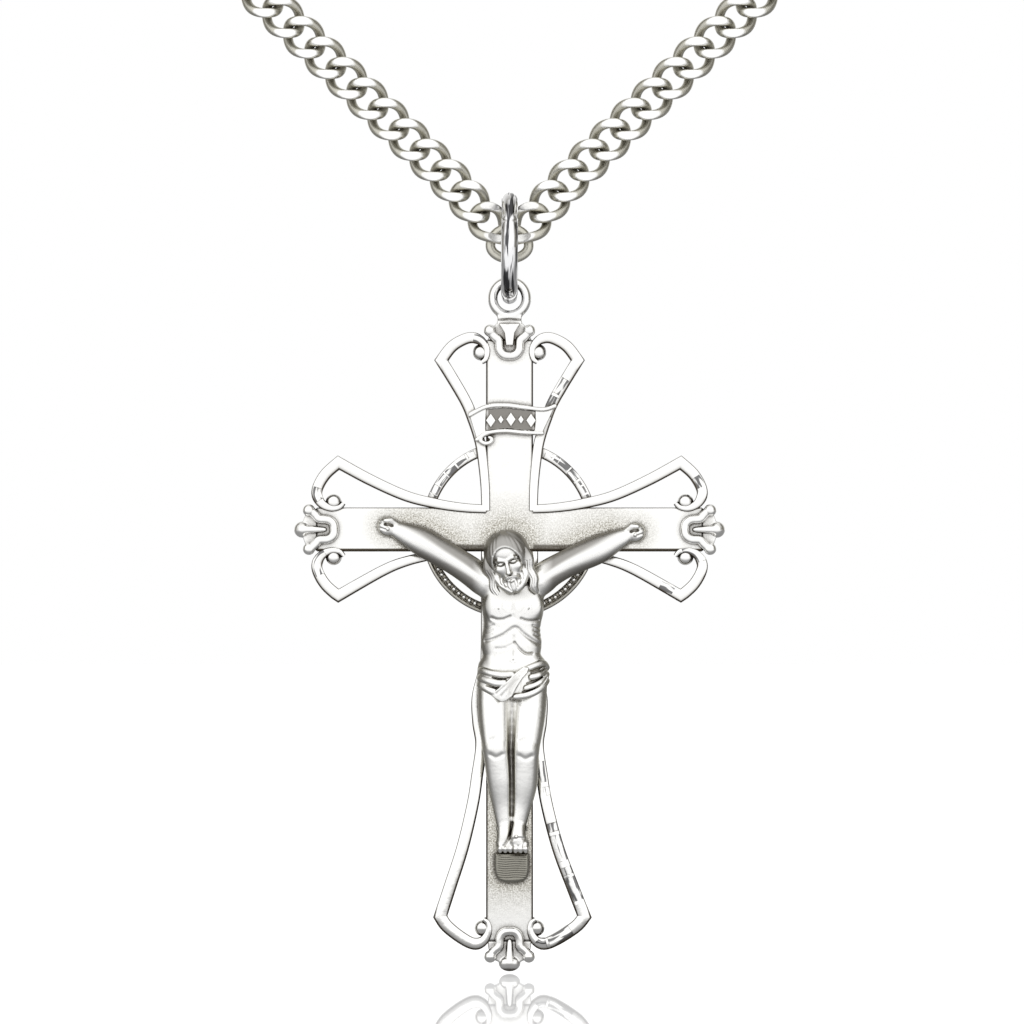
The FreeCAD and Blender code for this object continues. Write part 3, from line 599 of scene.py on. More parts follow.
# u, v points of the wires' centre lines along an arm, and of the curls at their ends
EDGES = {"top": [(1.4, 1.75), (3.2, 1.8), (5.1, 1.98), (6.5, 2.2), (8.05, 2.68), (9.6, 3.32),
                 (12.45, 5.02)],
         "side": [(1.73, 1.5), (3.4, 1.6), (5.3, 1.88), (7.6, 2.46), (10.2, 3.62), (12.6, 4.92)],
         "lower": [(5.2, 1.8), (7.4, 2.28), (9.3, 3.02), (12.6, 4.88)],
         "foot": [(1.62, 1.75), (9.2, 1.76), (10.6, 2.0), (12.4, 2.4), (14.2, 2.34), (15.9, 2.1),
                  (18.1, 2.38), (20.3, 2.72), (23.4, 3.45), (26.3, 4.38), (28.5, 5.1)]}
CURLS = {"side": [(12.6, 4.92), (13.5, 4.12), (14.05, 3.25), (14.18, 2.55), (13.85, 1.92), (13.2, 1.56),
                  (12.55, 1.62), (12.2, 1.95)],
         "top": [(12.45, 5.02), (13.45, 4.25), (14.0, 3.35), (14.12, 2.65), (13.85, 2.05), (13.25, 1.68),
                 (12.6, 1.72), (12.3, 2.05)],
         "foot": [(28.5, 5.1), (29.2, 4.62), (30.05, 3.55), (30.5, 2.62), (30.3, 1.95), (29.65, 1.56),
                  (29.0, 1.6), (28.7, 1.92)]}


def random_cuts(rng, start, stop, size_range, gap_range, rise, tilt_range, keep=None):
    """Facets one after another along a bar. keep says, from a facet's ends, whether it is ground."""
    cuts = []
    while start < stop:
        end = start + rng.uniform(*size_range)
        if keep is None or keep(start, end):
            cuts.append((start, end, rng.uniform(*rise), rng.choice((-1, 1)) * rng.uniform(*tilt_range)))
        start = end + rng.uniform(*gap_range)
    return cuts


def rail(name, arm, side, edge_kind, bright):
    """A frame wire from the crossing to the end of an arm, with its curl round the volute pearl."""
    curl_kind = arm if arm in CURLS else "side"
    edge, curl = curve(EDGES[edge_kind], 8), curve(CURLS[curl_kind], 6)[2:]
    spread = 0.08 * (arm == "foot") * (side < 0)          # the lower right corner stands out further
    path = [on_arm(arm, u, side * v * (1 + spread * ease(v, 2.4, 5.1))) for u, v in edge + curl]
    length = frames_along(path)[0]
    corner = length[len(edge) - 1]
    taper = np.r_[along_path(edge, (0, 0.5, 1), (0.8, 0.98, 1.1)),
                  along_path(curl, (0, 0.45, 0.7, 1), (1.1, 0.98, 0.6, 0.35))]
    rng = random.Random(SEED + len(name) + int(100 * side) + ord(arm[0]))

    def keep(start, end):
        return rng.random() < bright and not start - 0.4 < corner < end + 0.4

    first = (0.62 if arm == "foot" else 0.55) * length[-1] * (1 - 0.3 * bright)
    cuts = random_cuts(rng, first, length[-1] - 1.6, (0.5, 2.0), (0.05, 0.5), (-0.06, 0.03), (0.06, 0.35),
                       keep)
    width = 0.88 if arm == "foot" else 0.8
    verts, faces, marks = sweep_bar(path, width, FRONT - 0.1, BACK - 0.04, 0.05, 0.15, cuts, taper)
    obj = mesh_piece(name + "_wire", verts, faces, node=name)
    store_bar(obj, marks)
    sharpen(obj, 32)
    paint(obj, bright_cut)


# ---------------------------------------------------------------- pieces of the cross
def sculpt_palmette(step, bend, knob_u, tip_v, base_u, knob):
    """U wire with end pearls round a leaf, which ends in a knob of that half width, or in none.

    Clay axes: across, depth, outward along the arm."""
    c = Clay((-2.05, FRONT - 0.62, bend - 1.0), (2.05, BACK + 0.15, knob_u + 0.75), step)
    path = [(knob_u - 0.6, tip_v), (knob_u - 1.0, 1.05), (bend + 0.34 * (knob_u - bend), 0.78), (bend, 0.72),
            (bend - 0.38, 0.45), (bend - 0.47, 0.0)]
    half = [(v, FRONT - 0.08, u) for u, v in path]
    wire = curve(half + [(-v, y, u) for v, y, u in half[-2::-1]], 6)
    tip = 0.75 * knob if knob else 1.0
    base = [(1.62, base_u), (1.55, knob_u - 1.05), (1.25, knob_u - 0.3), (tip, knob_u)]
    c.slab(base + [(-v, u) for v, u in base[::-1]], FRONT, BACK, 0.05, 0.08)
    c.limb(wire, 0.32, 0.04)
    for s in (-1, 1):
        c.ball((s * tip_v, FRONT - 0.06, knob_u - 0.5), 0.45, 0.03)
    if knob:
        leaf = curve([(0, FRONT, bend + 0.25), (0, FRONT - 0.04, bend + 1.1), (0, FRONT - 0.02, knob_u)], 5)
        c.limb(leaf, np.linspace(0.17, 0.36, len(leaf)), 0.05)
        c.ball((0, FRONT + 0.28, knob_u), (knob, 0.6, 0.6), 0.06)
    else:
        leaf = [(0.26, bend + 0.3), (0.36, bend + 1.2), (0.78, knob_u)]
        c.slab(leaf + [(-v, u) for v, u in leaf[::-1]], FRONT - 0.34, BACK, 0.04, 0.1)
    return c


def sculpt_eye(step):
    c = Clay((-1.75, -0.85, eye_low[2] - 0.3), (1.75, 0.85, eye_high[2] + 0.1), step)
    mid = (eye_high[0] - eye_low[0]) / 2
    hole = 0.88
    z = eye_high[2] - mid
    r, t = (mid + hole) / 2, (mid - hole) / 2
    loop = [(r * math.cos(a), 0, z + r * math.sin(a)) for a in np.linspace(0, 2 * math.pi, 49)]
    c.limb(loop, t, 0.02, 1.38)
    neck = [(-1.0, eye_low[2] - 0.2), (-0.86, eye_low[2] + 0.75)]
    c.slab(neck + [(-x, z) for x, z in neck[::-1]], FRONT + 0.02, 0.42, 0.25, 0.12)
    c.bore((0, z), hole, 0.04)
    c.crease([(-0.85, z - mid - 0.02), (0, z - mid + 0.04), (0.85, z - mid - 0.02)], 0.1, 0.06, 0.2)
    return c


def sculpt_scroll(step):
    low, high = box_mm("title_scroll")
    c = Clay((low[0] - 0.1, FRONT - 0.62, low[2] - 0.5), (high[0] + 0.1, FRONT + 0.15, high[2] + 0.25), step)
    top = curve([(-2.95, 8.42), (-1.75, 9.02), (-0.35, 9.14), (1.05, 8.98), (2.5, 8.84), (3.35, 9.1)], 6)
    bottom = curve([(-2.4, 6.62), (-1.65, 7.1), (-0.35, 7.26), (1.05, 7.14), (2.4, 7.1)], 6)
    top, bottom = [[(x, CROSS_Z + z) for x, z in line] for line in (top, bottom)]
    c.slab(top + bottom[::-1], FRONT - 0.3, FRONT, 0.04, 0.05)
    for line in (top, bottom):
        c.limb([(x, FRONT - 0.24, z) for x, z in line], 0.165, 0.04)
    roll = curve([(-1.65, 7.12), (-2.05, 6.86), (-2.12, 6.52), (-1.8, 6.34), (-1.42, 6.42), (-1.3, 6.66),
                  (-1.5, 6.8)], 5)
    c.limb([(x, FRONT - 0.2, CROSS_Z + z) for x, z in roll], np.linspace(0.2, 0.12, len(roll)), 0.04)
    field = [(-1.78, 7.28), (-0.35, 7.46), (1.05, 7.34), (1.86, 7.32), (1.9, 8.7), (1.05, 8.78),
             (-0.35, 8.94), (-1.72, 8.84)]
    c.slab([(x, CROSS_Z + z) for x, z in field], FRONT - 1.0, FRONT - 0.17, 0.03, 0.02, cut_out=True)
    return c


def sculpt_lozenges(step):
    low, high = box_mm("scroll_ornament")
    c = Clay((low[0] - 0.2, FRONT - 0.6, low[2] - 0.2), (high[0] + 0.2, FRONT, high[2] + 0.2), step)
    for k in range(-2, 3):
        x, z = 0.1 + 0.74 * k, CROSS_Z + 8.1 - 0.02 * k * k
        w = 0.36 if k % 2 == 0 else 0.22
        lozenge = [(x - w, z), (x, z + 1.45 * w), (x + w, z), (x, z - 1.45 * w)]
        c.slab(lozenge, FRONT - 0.45, FRONT - 0.14, 0.01, 0.05)
    return c


def arc_bar(side, start, end, radius, width, front, cuts=(), groove=0.0, edge=0.12):
    path = [(side * radius * math.cos(a), CROSS_Z + radius * math.sin(a))
            for a in np.radians(np.linspace(start, end, 40))]
    return sweep_bar(path, width, front, BACK - 0.15, 0.06, edge, cuts, groove=groove)


def join_meshes(name, parts, node):
    verts, faces, base = [], [], 0
    for v, f in parts:
        verts.append(np.asarray(v))
        faces += [tuple(int(i) + base for i in face) for face in f]
        base += len(v)
    return mesh_piece(name, np.vstack(verts), faces, node=node)


def sphere(center, radius, rows=12, turns=20):
    verts = [(0, 0, 1)] + [(math.sin(a) * math.cos(b), math.sin(a) * math.sin(b), math.cos(a))
                           for a in np.linspace(0, math.pi, rows + 1)[1:-1]
                           for b in np.linspace(0, 2 * math.pi, turns, False)] + [(0, 0, -1)]
    last = len(verts) - 1
    faces = [(0, 1 + k, 1 + (k + 1) % turns) for k in range(turns)]
    for r in range(rows - 2):
        a, b = 1 + r * turns, 1 + (r + 1) * turns
        faces += [(a + k, b + k, b + (k + 1) % turns, a + (k + 1) % turns) for k in range(turns)]
    a = 1 + (rows - 2) * turns
    faces += [(a + k, last, a + (k + 1) % turns) for k in range(turns)]
    return np.array(verts) * radius + np.array(center), faces


# ---------------------------------------------------------------- the chain
WIRE = 0.72          # thickness of the links' wire
FLAT = 0.7          # half the height between a link's two flats


def sculpt_link(a, b, twist, step, low=1.0):
    """One twisted link of wire, half a and b long and wide, with flats. low shortens its lower half."""
    c = Clay((-a - 0.45, -b - 0.45, -0.95), (a + 0.45, b + 0.45, 0.95), step)
    wire = []
    for t in np.linspace(0, 2 * math.pi, 73):
        tau = -math.radians(twist) * math.cos(t)
        rise = b * math.sin(t) * (low if math.sin(t) < 0 else 1.0)
        wire.append((a * math.cos(t), rise * math.cos(tau), rise * math.sin(tau)))
    c.limb(wire, WIRE / 2, 0.01)
    height = (c.low[2] + c.step * np.arange(c.shape[2])).astype(np.float32)
    c.field = -smooth_min(-c.field, -(np.abs(height) - FLAT)[None, None, :], 0.04)
    return c


def place_link(name, body, verts, faces, slope, roll, mirror):
    height = verts[:, 2]
    lean = Euler((0, math.radians(slope), 0)).to_matrix()
    turn = lean @ Euler((math.radians(roll + 90), 0, 0)).to_matrix()
    verts = verts @ np.array(turn).T
    if mirror:
        verts, faces = verts * (-1, 1, 1), faces[:, ::-1]
    low, high = box_mm(name)
    verts = verts + (low + high) / 2 - (verts.min(0) + verts.max(0)) / 2
    obj = mesh_piece(name + "_forged", verts, faces, body, node=name)
    store(obj, "flat", ease(np.abs(height), FLAT - 0.15, FLAT - 0.07))
    return obj


# ---------------------------------------------------------------- materials
def node(tree, kind, inputs=(), **settings):
    """A shader node with its inputs, each a value or another node's output, and its settings."""
    n = tree.nodes.new("ShaderNode" + kind)
    for key, value in settings.items():
        setattr(n, key, value)
    for key, value in dict(inputs).items():
        if isinstance(value, bpy.types.NodeSocket):
            tree.links.new(value, n.inputs[key])
        else:
            n.inputs[key].default_value = value
    return n


def math_node(tree, op, a, b=0.0, c=0.0, clamp=False):
    return node(tree, "Math", {0: a, 1: b, 2: c}, operation=op, use_clamp=clamp).outputs[0]


def stored(tree, name):
    return node(tree, "Attribute", attribute_name=name).outputs["Fac"]


def noise(tree, where, scale, detail=3.0, roughness=0.5):
    return node(tree, "TexNoise", {"Vector": where, "Scale": scale, "Detail": detail,
                                             "Roughness": roughness}).outputs["Fac"]


def ramp(tree, value, low, high, to_low=0.0, to_high=1.0):
    return node(tree, "MapRange", {"Value": value, "From Min": low, "From Max": high,
                                             "To Min": to_low, "To Max": to_high}).outputs["Result"]


def mix_colour(tree, factor, a, b):
    return node(tree, "Mix", {0: factor, 6: a, 7: b}, data_type="RGBA").outputs[2]


def stretched(tree, vector, factors):
    return node(tree, "VectorMath", {0: vector, 1: factors}, operation="MULTIPLY").outputs[0]


def silver(name, tone, rough, dark, reach=0.45, onset=(0.92, 0.45), grain=(0, 0), scratch=(0, 0), halo=None,
           patina_and_shade=False, reflection_streaks=0.0, ground_only=False, flats=None, side_shade=None):
    """Metal of one tone with recesses darkened over reach mm. grain and scratch are (size, height) in mm.

    The stored patina and painted shade, halo, ground_only and flats use the values stored at the vertices.
    halo holds the colours of a blasted surface, flats that of the wire between the hammered flats, a painted
    shade; the sides' tone is painted shade on sides turned away from the front."""
    mat = bpy.data.materials.new(name)
    mat.use_nodes = True
    t = mat.node_tree
    shader = t.nodes["Principled BSDF"]
    shader.inputs["Metallic"].default_value = 1.0
    own = node(t, "TexCoord").outputs
    where = node(t, "VectorMath", {0: own["Object"], 3: 1000.0}, operation="SCALE").outputs[0]
    cloud = noise(t, where, 0.9, 4)
    fine = noise(t, where, 9.0, 3)
    shade = node(t, "AmbientOcclusion", {"Distance": reach * MM}, samples=8).outputs["AO"]
    recess_and_shade = ramp(t, math_node(t, "MULTIPLY_ADD", fine, 0.22, shade), onset[0] + 0.11, onset[1] + 0.11)
    # the stored values hold patina in the hollows and painted shade on the bar edges, the plate and the
    # figure
    if patina_and_shade:
        recess_and_shade = math_node(t, "MAXIMUM", recess_and_shade, stored(t, "patina_and_shade"))
    base_tone = mix_colour(t, ramp(t, cloud, 0.3, 0.7), (*[c * 0.965 for c in tone], 1), (*tone, 1))
    blasted = 1.0
    if halo:
        blasted = stored(t, "halo")
        speck = ramp(t, noise(t, where, 9.0, 2, 0.7), 0.38, 0.62)
        base_tone = mix_colour(t, blasted, base_tone, mix_colour(t, speck, (*halo[0], 1), (*halo[1], 1)))
    # painted shade: the wire beside the flat faces takes a darker tone
    if flats:
        base_tone = mix_colour(t, stored(t, "flat"), (*flats, 1), base_tone)
    # painted shade: surfaces turned away from the front take the darker side tone
    if side_shade:
        facing = node(t, "SeparateXYZ", {0: own["Normal"]}).outputs["Y"]
        facing_noisy = math_node(t, "MULTIPLY_ADD", fine, -0.1, facing)
        base_tone = mix_colour(t, ramp(t, facing_noisy, -0.48, -0.88), (*side_shade, 1), base_tone)
    # painted reflections: dark streaks on ground facets and along drawn wire
    if reflection_streaks:
        lane = node(t, "Attribute", attribute_name="lane").outputs["Vector"]
        line = ramp(t, noise(t, stretched(t, lane, (0.42, 3.4, 3.4)), 1.0, 2, 0.55), 0.5, 0.56, 0, reflection_streaks)
        if ground_only:
            line = math_node(t, "MULTIPLY", line, stored(t, "ground"))
        base_tone = mix_colour(t, line, base_tone, (0.05, 0.05, 0.055, 1))
    t.links.new(mix_colour(t, recess_and_shade, base_tone, (*dark, 1)), shader.inputs["Base Color"])
    rough_map = math_node(t, "ADD", ramp(t, cloud, 0.3, 0.7, rough * 0.85, rough * 1.15),
                          math_node(t, "MULTIPLY", recess_and_shade, 0.25), clamp=True)
    t.links.new(rough_map, shader.inputs["Roughness"])
    height = math_node(t, "MULTIPLY", noise(t, where, 2.2, 2), 0.012)
    if grain[1]:
        rise = math_node(t, "MULTIPLY", noise(t, where, 1 / grain[0], 2, 0.7), grain[1])
        height = math_node(t, "ADD", height, math_node(t, "MULTIPLY", rise, blasted))
    if scratch[1]:
        along = stretched(t, where, (1.0, 1.0, 7.0))
        rise = math_node(t, "MULTIPLY", noise(t, along, 1 / scratch[0], 2, 0.6), scratch[1])
        height = math_node(t, "ADD", height, rise)
    bump = node(t, "Bump", {"Height": height, "Strength": 1.0, "Distance": MM})
    t.links.new(bump.outputs["Normal"], shader.inputs["Normal"])
    return mat


BROWN = (0.085, 0.07, 0.052)
WHITE = (0.97, 0.965, 0.95)
BLASTED = ((0.34, 0.32, 0.27), (0.88, 0.865, 0.82))
satin = silver("satin_silver", WHITE, 0.3, BROWN, grain=(0.1, 0.007), halo=BLASTED, patina_and_shade=True)
polished = silver("polished_silver", WHITE, 0.13, BROWN, patina_and_shade=True)
# its dark streaks on the ground facets are painted reflections
bright_cut = silver("bright_cut_silver", WHITE, 0.11, BROWN, grain=(0.5, 0.006), patina_and_shade=True, reflection_streaks=0.85,
                    ground_only=True)
# the figure's sides turned away from the front take a painted shade tone
figure = silver("figure_silver", WHITE, 0.22, BROWN, reach=0.7, onset=(0.62, 0.15), grain=(0.3, 0.004),
                patina_and_shade=True, side_shade=(0.42, 0.405, 0.35))
# chain: the wire beside the flat faces takes a darker tone, painted shade
chain = silver("chain_silver", WHITE, 0.32, (0.15, 0.13, 0.085), reach=0.6, onset=(0.62, 0.12),
               grain=(0.06, 0.003), flats=(0.6, 0.585, 0.52))
clasp = silver("clasp_silver", (0.95, 0.94, 0.92), 0.18, (0.17, 0.14, 0.09), reach=0.7, onset=(0.75, 0.2),
               scratch=(0.2, 0.003))
# the ring's dark streaks along the wire are painted reflections
rhodium = silver("rhodium_ring", (0.93, 0.93, 0.94), 0.08, (0.02, 0.02, 0.02), onset=(0.7, 0.2), reflection_streaks=0.96)
block_metal = silver("foot_block_silver", (0.33, 0.32, 0.28), 0.34, BROWN, grain=(0.12, 0.01), patina_and_shade=True)
channel_metal = silver("channel_silver", (0.55, 0.52, 0.45), 0.34, BROWN, onset=(0.5, 0.1),
                       grain=(0.12, 0.015))
rim_metal = silver("rim_silver", (0.66, 0.64, 0.58), 0.22, BROWN, onset=(0.75, 0.3), grain=(0.3, 0.006),
                   patina_and_shade=True)


# ---------------------------------------------------------------- darkening kept at the vertices: patina in the hollows, painted shade and shadow on the figure
def mark_hollows(obj, clay, verts, reach, gain):
    """Stores how deep each vertex lies in a hollow, from the distance field averaged around it."""
    step = clay.step
    soft = clay.field.clip(-reach, reach)
    for axis in range(3):
        n = max(int(reach / step), 1)
        pad = [(n + 1, n) if a == axis else (0, 0) for a in range(3)]
        total = np.cumsum(np.pad(soft, pad, mode="edge"), axis=axis)
        size = 2 * n + 1
        soft = (np.take(total, range(size, total.shape[axis]), axis) -
                np.take(total, range(0, total.shape[axis] - size), axis)) / size
    index = np.clip(np.round((verts - clay.low) / step).astype(int), 0, np.array(soft.shape) - 1)
    depth = -soft[index[:, 0], index[:, 1], index[:, 2]] / reach
    value = ease(depth, 0.02, 0.02 + 1 / gain).astype(np.float32)
    store(obj, "patina_and_shade", value)
    return value


ARM_LEAN = 0.84         # from a height above an arm's middle line to the distance from it


def hair_grey_and_shade(v):
    """Grey on everything outside the face, in the head's own frame, reaching lower on the viewer's left as
    painted shade.
    """
    x, z = v[:, 0], v[:, 2]
    oval = np.sqrt((x / 1.05) ** 2 + ((z + 0.58) / 1.67) ** 2)
    # painted shade: the grey reaches lower on the viewer's left, the side away from the light
    low = np.where(x < 0, -1.3, -0.5)
    return 0.62 * ease(oval, 0.98, 1.06) * ease(z, low, low + 0.8)


def body_painted_shade(v):
    """Painted shade: a shadow under the beard, shade down the left side away from the light, and shade along
    both edges of the arms.
    """
    x, z = v[:, 0], v[:, 2]
    throat_shadow = 0.42 * np.exp(-((x - 0.25) / 1.5) ** 2 - ((z - 27.95) / 0.55) ** 2) * (v[:, 1] < -1.2)
    left_flank_shade = 0.5 * ease(x, -1.3, -1.65) * ease(z, 21.9, 22.7) * ease(z, 28.4, 27.6)
    value = np.maximum(throat_shadow, left_flank_shade)
    for s, path in ARM_PATHS.items():
        line = np.array(curve(path, 9))
        reach = np.abs(line[:, 0])
        off = (z - np.interp(np.abs(x), reach, line[:, 2])) * ARM_LEAN + 0.08
        bright = np.interp(np.abs(x), (reach[0], 4.6, 6.5, 8.0), (0.24, 0.34, 0.5, 0.62))
        # painted shade on both edges of each arm, leaving a lit band as wide as bright along its middle
        edges = 0.68 * (1 - np.exp(-(off / bright) ** 4)) * ease(s * x, reach[0], reach[0] + 0.9)
        value = np.maximum(value, edges * ease(np.abs(x), 9.0, 8.2))
    return value


# ---------------------------------------------------------------- build everything
FINE = 0.04


def sculpted(name, clay, node_name, material, reach=0.3, gain=2.2, move=None, shade_and_grey=None):
    """A piece of the pendant from clay, its hollows marked over reach mm and more darkening added: painted
    shade on the body, grey with painted shade on the hair.
    """
    raw, faces = clay.mesh()
    verts = raw
    if move is not None:
        verts = raw @ np.array(move.to_3x3()).T + np.array(move.translation)
    obj = mesh_piece(name, verts, faces, node=node_name)
    if reach:
        hollow = mark_hollows(obj, clay, raw, reach, gain)
        if shade_and_grey is not None:
            store(obj, "patina_and_shade", np.maximum(hollow, shade_and_grey(raw)))
    paint(obj, material)
    return obj


body_clay = sculpt_body(FINE + 0.01)
sculpted("corpus_body", body_clay, "corpus", figure, shade_and_grey=body_painted_shade)
turn = Euler([math.radians(a) for a in HEAD_TURN]).to_matrix().to_4x4()
head_move = Matrix.Translation(HEAD_AT) @ turn @ Matrix.Scale(HEAD_SIZE, 4)
sculpted("corpus_head", sculpt_head(0.6 * FINE), "corpus", figure, 0.16, 2.6, head_move,
         hair_grey_and_shade)
sculpted("draped_loincloth", sculpt_cloth(FINE), "loincloth", figure, 0.16, 1.5)
sculpted("carved_foot_block", sculpt_foot_block(FINE), "foot_block", block_metal, 0.15)

# frame wires, each with the share of its facets that are ground
for arm in ("top", "foot"):
    for side, word, bright in ((1, "left", 0.35), (-1, "right", 0.85)):
        rail(arm + "_rail_" + word, arm, side, arm, bright)
for arm in ("left", "right"):
    for side, word, kind in ((1, "upper", "side"), (-1, "lower", "lower")):
        rail(arm + "_arm_" + word + "_rail", arm, side, kind, 0.5)

# beams: one cross-shaped plate with eased edges
plate = Clay((-bar_high[0] - 0.15, FRONT - 0.15, post_low[2] - 0.15),
             (bar_high[0] + 0.15, BACK + 0.15, post_high[2] + 0.15), 0.07)
right_half = [(POST_HALF, post_high[2]), (POST_HALF, CROSS_Z + BAR_HALF), (bar_high[0], CROSS_Z + BAR_HALF),
              (bar_high[0], CROSS_Z - BAR_HALF), (POST_HALF, CROSS_Z - BAR_HALF), (POST_HALF, post_low[2])]
plate.slab(right_half + [(-x, z) for x, z in right_half[::-1]], FRONT, BACK, 0.01, 0.13)
verts, faces = plate.mesh()
cross_plate = mesh_piece("cross_plate", verts, faces, node=("upright_beam", "crossbar"))

# the blasted halo on the plate, from the distance to the figure's and the foot block's outline
covered = body_clay.field.min(axis=1) < 0.05
body_spots = np.argwhere(covered)[::3] * body_clay.step + body_clay.low[[0, 2]]
head_spots = [(HEAD_AT[0] + 1.5 * math.cos(a), HEAD_AT[2] + 0.9 + 1.4 * math.sin(a))
              for a in np.linspace(0, 2 * math.pi, 40)]
block_spots = [(x, z) for x in np.linspace(-0.9, 1.2, 12) for z in np.linspace(6.8, 8.6, 8)]
spots = np.vstack([body_spots, head_spots, block_spots])
near = np.full(len(verts), 9.0)
for i in range(0, len(spots), 200):
    part = spots[i:i + 200]
    d = (verts[:, None, 0] - part[None, :, 0]) ** 2 + (verts[:, None, 2] - part[None, :, 1]) ** 2
    near = np.minimum(near, d.min(1))
aside, down, depth = np.abs(verts[:, 0]), CROSS_Z - verts[:, 2], verts[:, 1] - FRONT
halo = 0.6 * np.exp(-near / 0.8 ** 2)
halo += 0.62 * np.exp(-(near / 2.3 ** 2) ** 1.5) * ease(aside, 9.0, 7.4)
store(cross_plate, "halo", halo * (depth < 0.05))

# its darkening: a painted shadow under the arms, and painted shade with some oxide on the walls' front part
# and on the eased edges
shadow_under_arm = ease(down, 1.05, 1.17) * (down < BAR_HALF + 0.1) * ease(aside, 6.2, 5.4) * (aside > POST_HALF)
wall_shade = ease(depth, 0.02, 0.07) * ease(depth, 1.3, 0.4)
gap = np.where(np.abs(down) > BAR_HALF, POST_HALF - aside, BAR_HALF - 0.09 - down)
edge_shade = ease(gap, 0.16, 0.1) * (depth < 0.2)
store(cross_plate, "patina_and_shade", np.maximum(np.maximum(wall_shade, edge_shade), 0.8 * shadow_under_arm))
paint(cross_plate, satin)

# volute pearls, at u, v places on the arms
PEARL_R = 0.6
PEARLS_AT = {"top": (13.05, 2.12), "foot": (29.35, 1.98), "left": (12.95, 2.02), "right": (12.95, 2.02)}
for arm, (u, v) in PEARLS_AT.items():
    low, high = box_mm(arm + "_volute_pearls")
    centres = [on_arm(arm, u, side * v) for side in (1, -1)]
    parts = [sphere((x, low[1] + PEARL_R, z), PEARL_R, 18, 30) for x, z in centres]
    paint(join_meshes(arm + "_pearls", parts, arm + "_volute_pearls"), polished)

# palmettes: u of the inner end, u of the knob, half width at the tips, half width of the knob
LEAVES = {"left": (14.2, 15.27, 1.42, 0.6), "right": (14.2, 15.27, 1.42, 0.6),
          "foot": (30.3, CROSS_Z - 0.6, 1.42, 0.8), "top": (13.95, 15.15, 1.45, 0)}
for arm, (base_u, knob_u, tip_v, knob) in LEAVES.items():
    clay = sculpt_palmette(FINE, knob_u - 1.9, knob_u, tip_v, base_u, knob)
    verts, faces = clay.mesh()
    x, z = on_arm(arm, verts[:, 2], verts[:, 0])
    (ux, uz), (vx, vz) = ARMS[arm]
    if vx * uz < vz * ux:
        faces = faces[:, ::-1]
    obj = mesh_piece(arm + "_leaf", np.c_[x, verts[:, 1], z], faces, node=arm + "_palmette")
    mark_hollows(obj, clay, verts, 0.2, 1.6)
    paint(obj, polished)

# bail eye and title scroll, whose sunk field is darkened
sculpted("cast_bail_eye", sculpt_eye(FINE), "bail_eye", polished, 0.2, 1.6)
scroll_clay = sculpt_scroll(FINE)
scroll = sculpted("ribbon_scroll", scroll_clay, "title_scroll", polished, 0)
verts = scroll_clay.mesh()[0]
sunk = ease(verts[:, 1], FRONT - 0.2, FRONT - 0.17) * ease(np.abs(verts[:, 0] - 0.06), 1.75, 1.6)
store(scroll, "patina_and_shade", 0.8 * sunk * (np.abs(verts[:, 2] - CROSS_Z - 8.12) < 0.9))
sculpted("scroll_lozenges", sculpt_lozenges(0.03), "scroll_ornament", polished, 0)

# the ring behind the crossing: faceted above, a beaded channel with a plain rim below
NIMBUS_FRONT = FRONT + 0.15
UPPER_SPAN, LOWER_SPAN = (17, 76), (-76, -17)             # degrees from the crossbar's line
UPPER_R, RIM_R, CHANNEL_R, BEADS_R = 6.12, 6.32, 5.96, 5.98
rng = random.Random(SEED)
upper, outer_rim, channel = [], [], []
for side in (1, -1):
    cuts = random_cuts(rng, 0.3, 5.2, (0.3, 0.9), (0.02, 0.25), (-0.05, 0.03), (0.05, 0.3))
    upper.append(arc_bar(side, *UPPER_SPAN, UPPER_R, 0.76, NIMBUS_FRONT, cuts))
    outer_rim.append(arc_bar(side, *LOWER_SPAN, RIM_R, 0.36, NIMBUS_FRONT, edge=0.2))
    channel.append(arc_bar(side, *LOWER_SPAN, CHANNEL_R, 0.44, NIMBUS_FRONT + 0.04, groove=0.2, edge=0.06))
for word, bars, node_name, metal in (("faceted_nimbus", upper, "nimbus_upper_arcs", bright_cut),
                                     ("nimbus_rim", outer_rim, "nimbus_lower_arcs", rim_metal),
                                     ("nimbus_channel", channel, "nimbus_lower_arcs", channel_metal)):
    obj = join_meshes(word, [bar[:2] for bar in bars], node_name)
    store_bar(obj, [sum((list(bar[2][k]) for bar in bars), []) for k in range(3)])
    sharpen(obj, 32)
    paint(obj, metal)
beads = []
for side in (1, -1):
    for k in range(9):
        a = math.radians(-29 - 4.5 * k)
        spot = (side * BEADS_R * math.cos(a), NIMBUS_FRONT, CROSS_Z + BEADS_R * math.sin(a))
        beads.append(sphere(spot, 0.15 + 0.02 * rng.random(), 8, 12))
paint(join_meshes("arc_beads", beads, "nimbus_beads"), polished)

# chain: thirteen links a side and the lowest one that carries the ring
TURNS = [(49.0, -27.5), (48.6, -15.5), (47.0, -4.0)] + [(44.2, 0.0)] * 10        # slope and roll, degrees
LINK = (1.47, 1.19, 50.0)                                 # half length and half width, twist in degrees
LOWEST, LOWER_PART = (1.41, 1.27, 0.0), 0.76              # the same of the lowest link, and its flatter half
verts, faces = sculpt_link(*LINK, FINE).mesh()
for k, (slope, roll) in enumerate(TURNS):
    for mirror, word in ((False, "left"), (True, "right")):
        link = place_link("%s_link_%02d" % (word, k), "links_%02d" % k, verts, faces, slope, roll, mirror)
        paint(link, chain)
verts, faces = sculpt_link(*LOWEST, FINE, LOWER_PART).mesh()
paint(place_link("apex_link", "apex", verts, faces, 0, 0, False), chain)

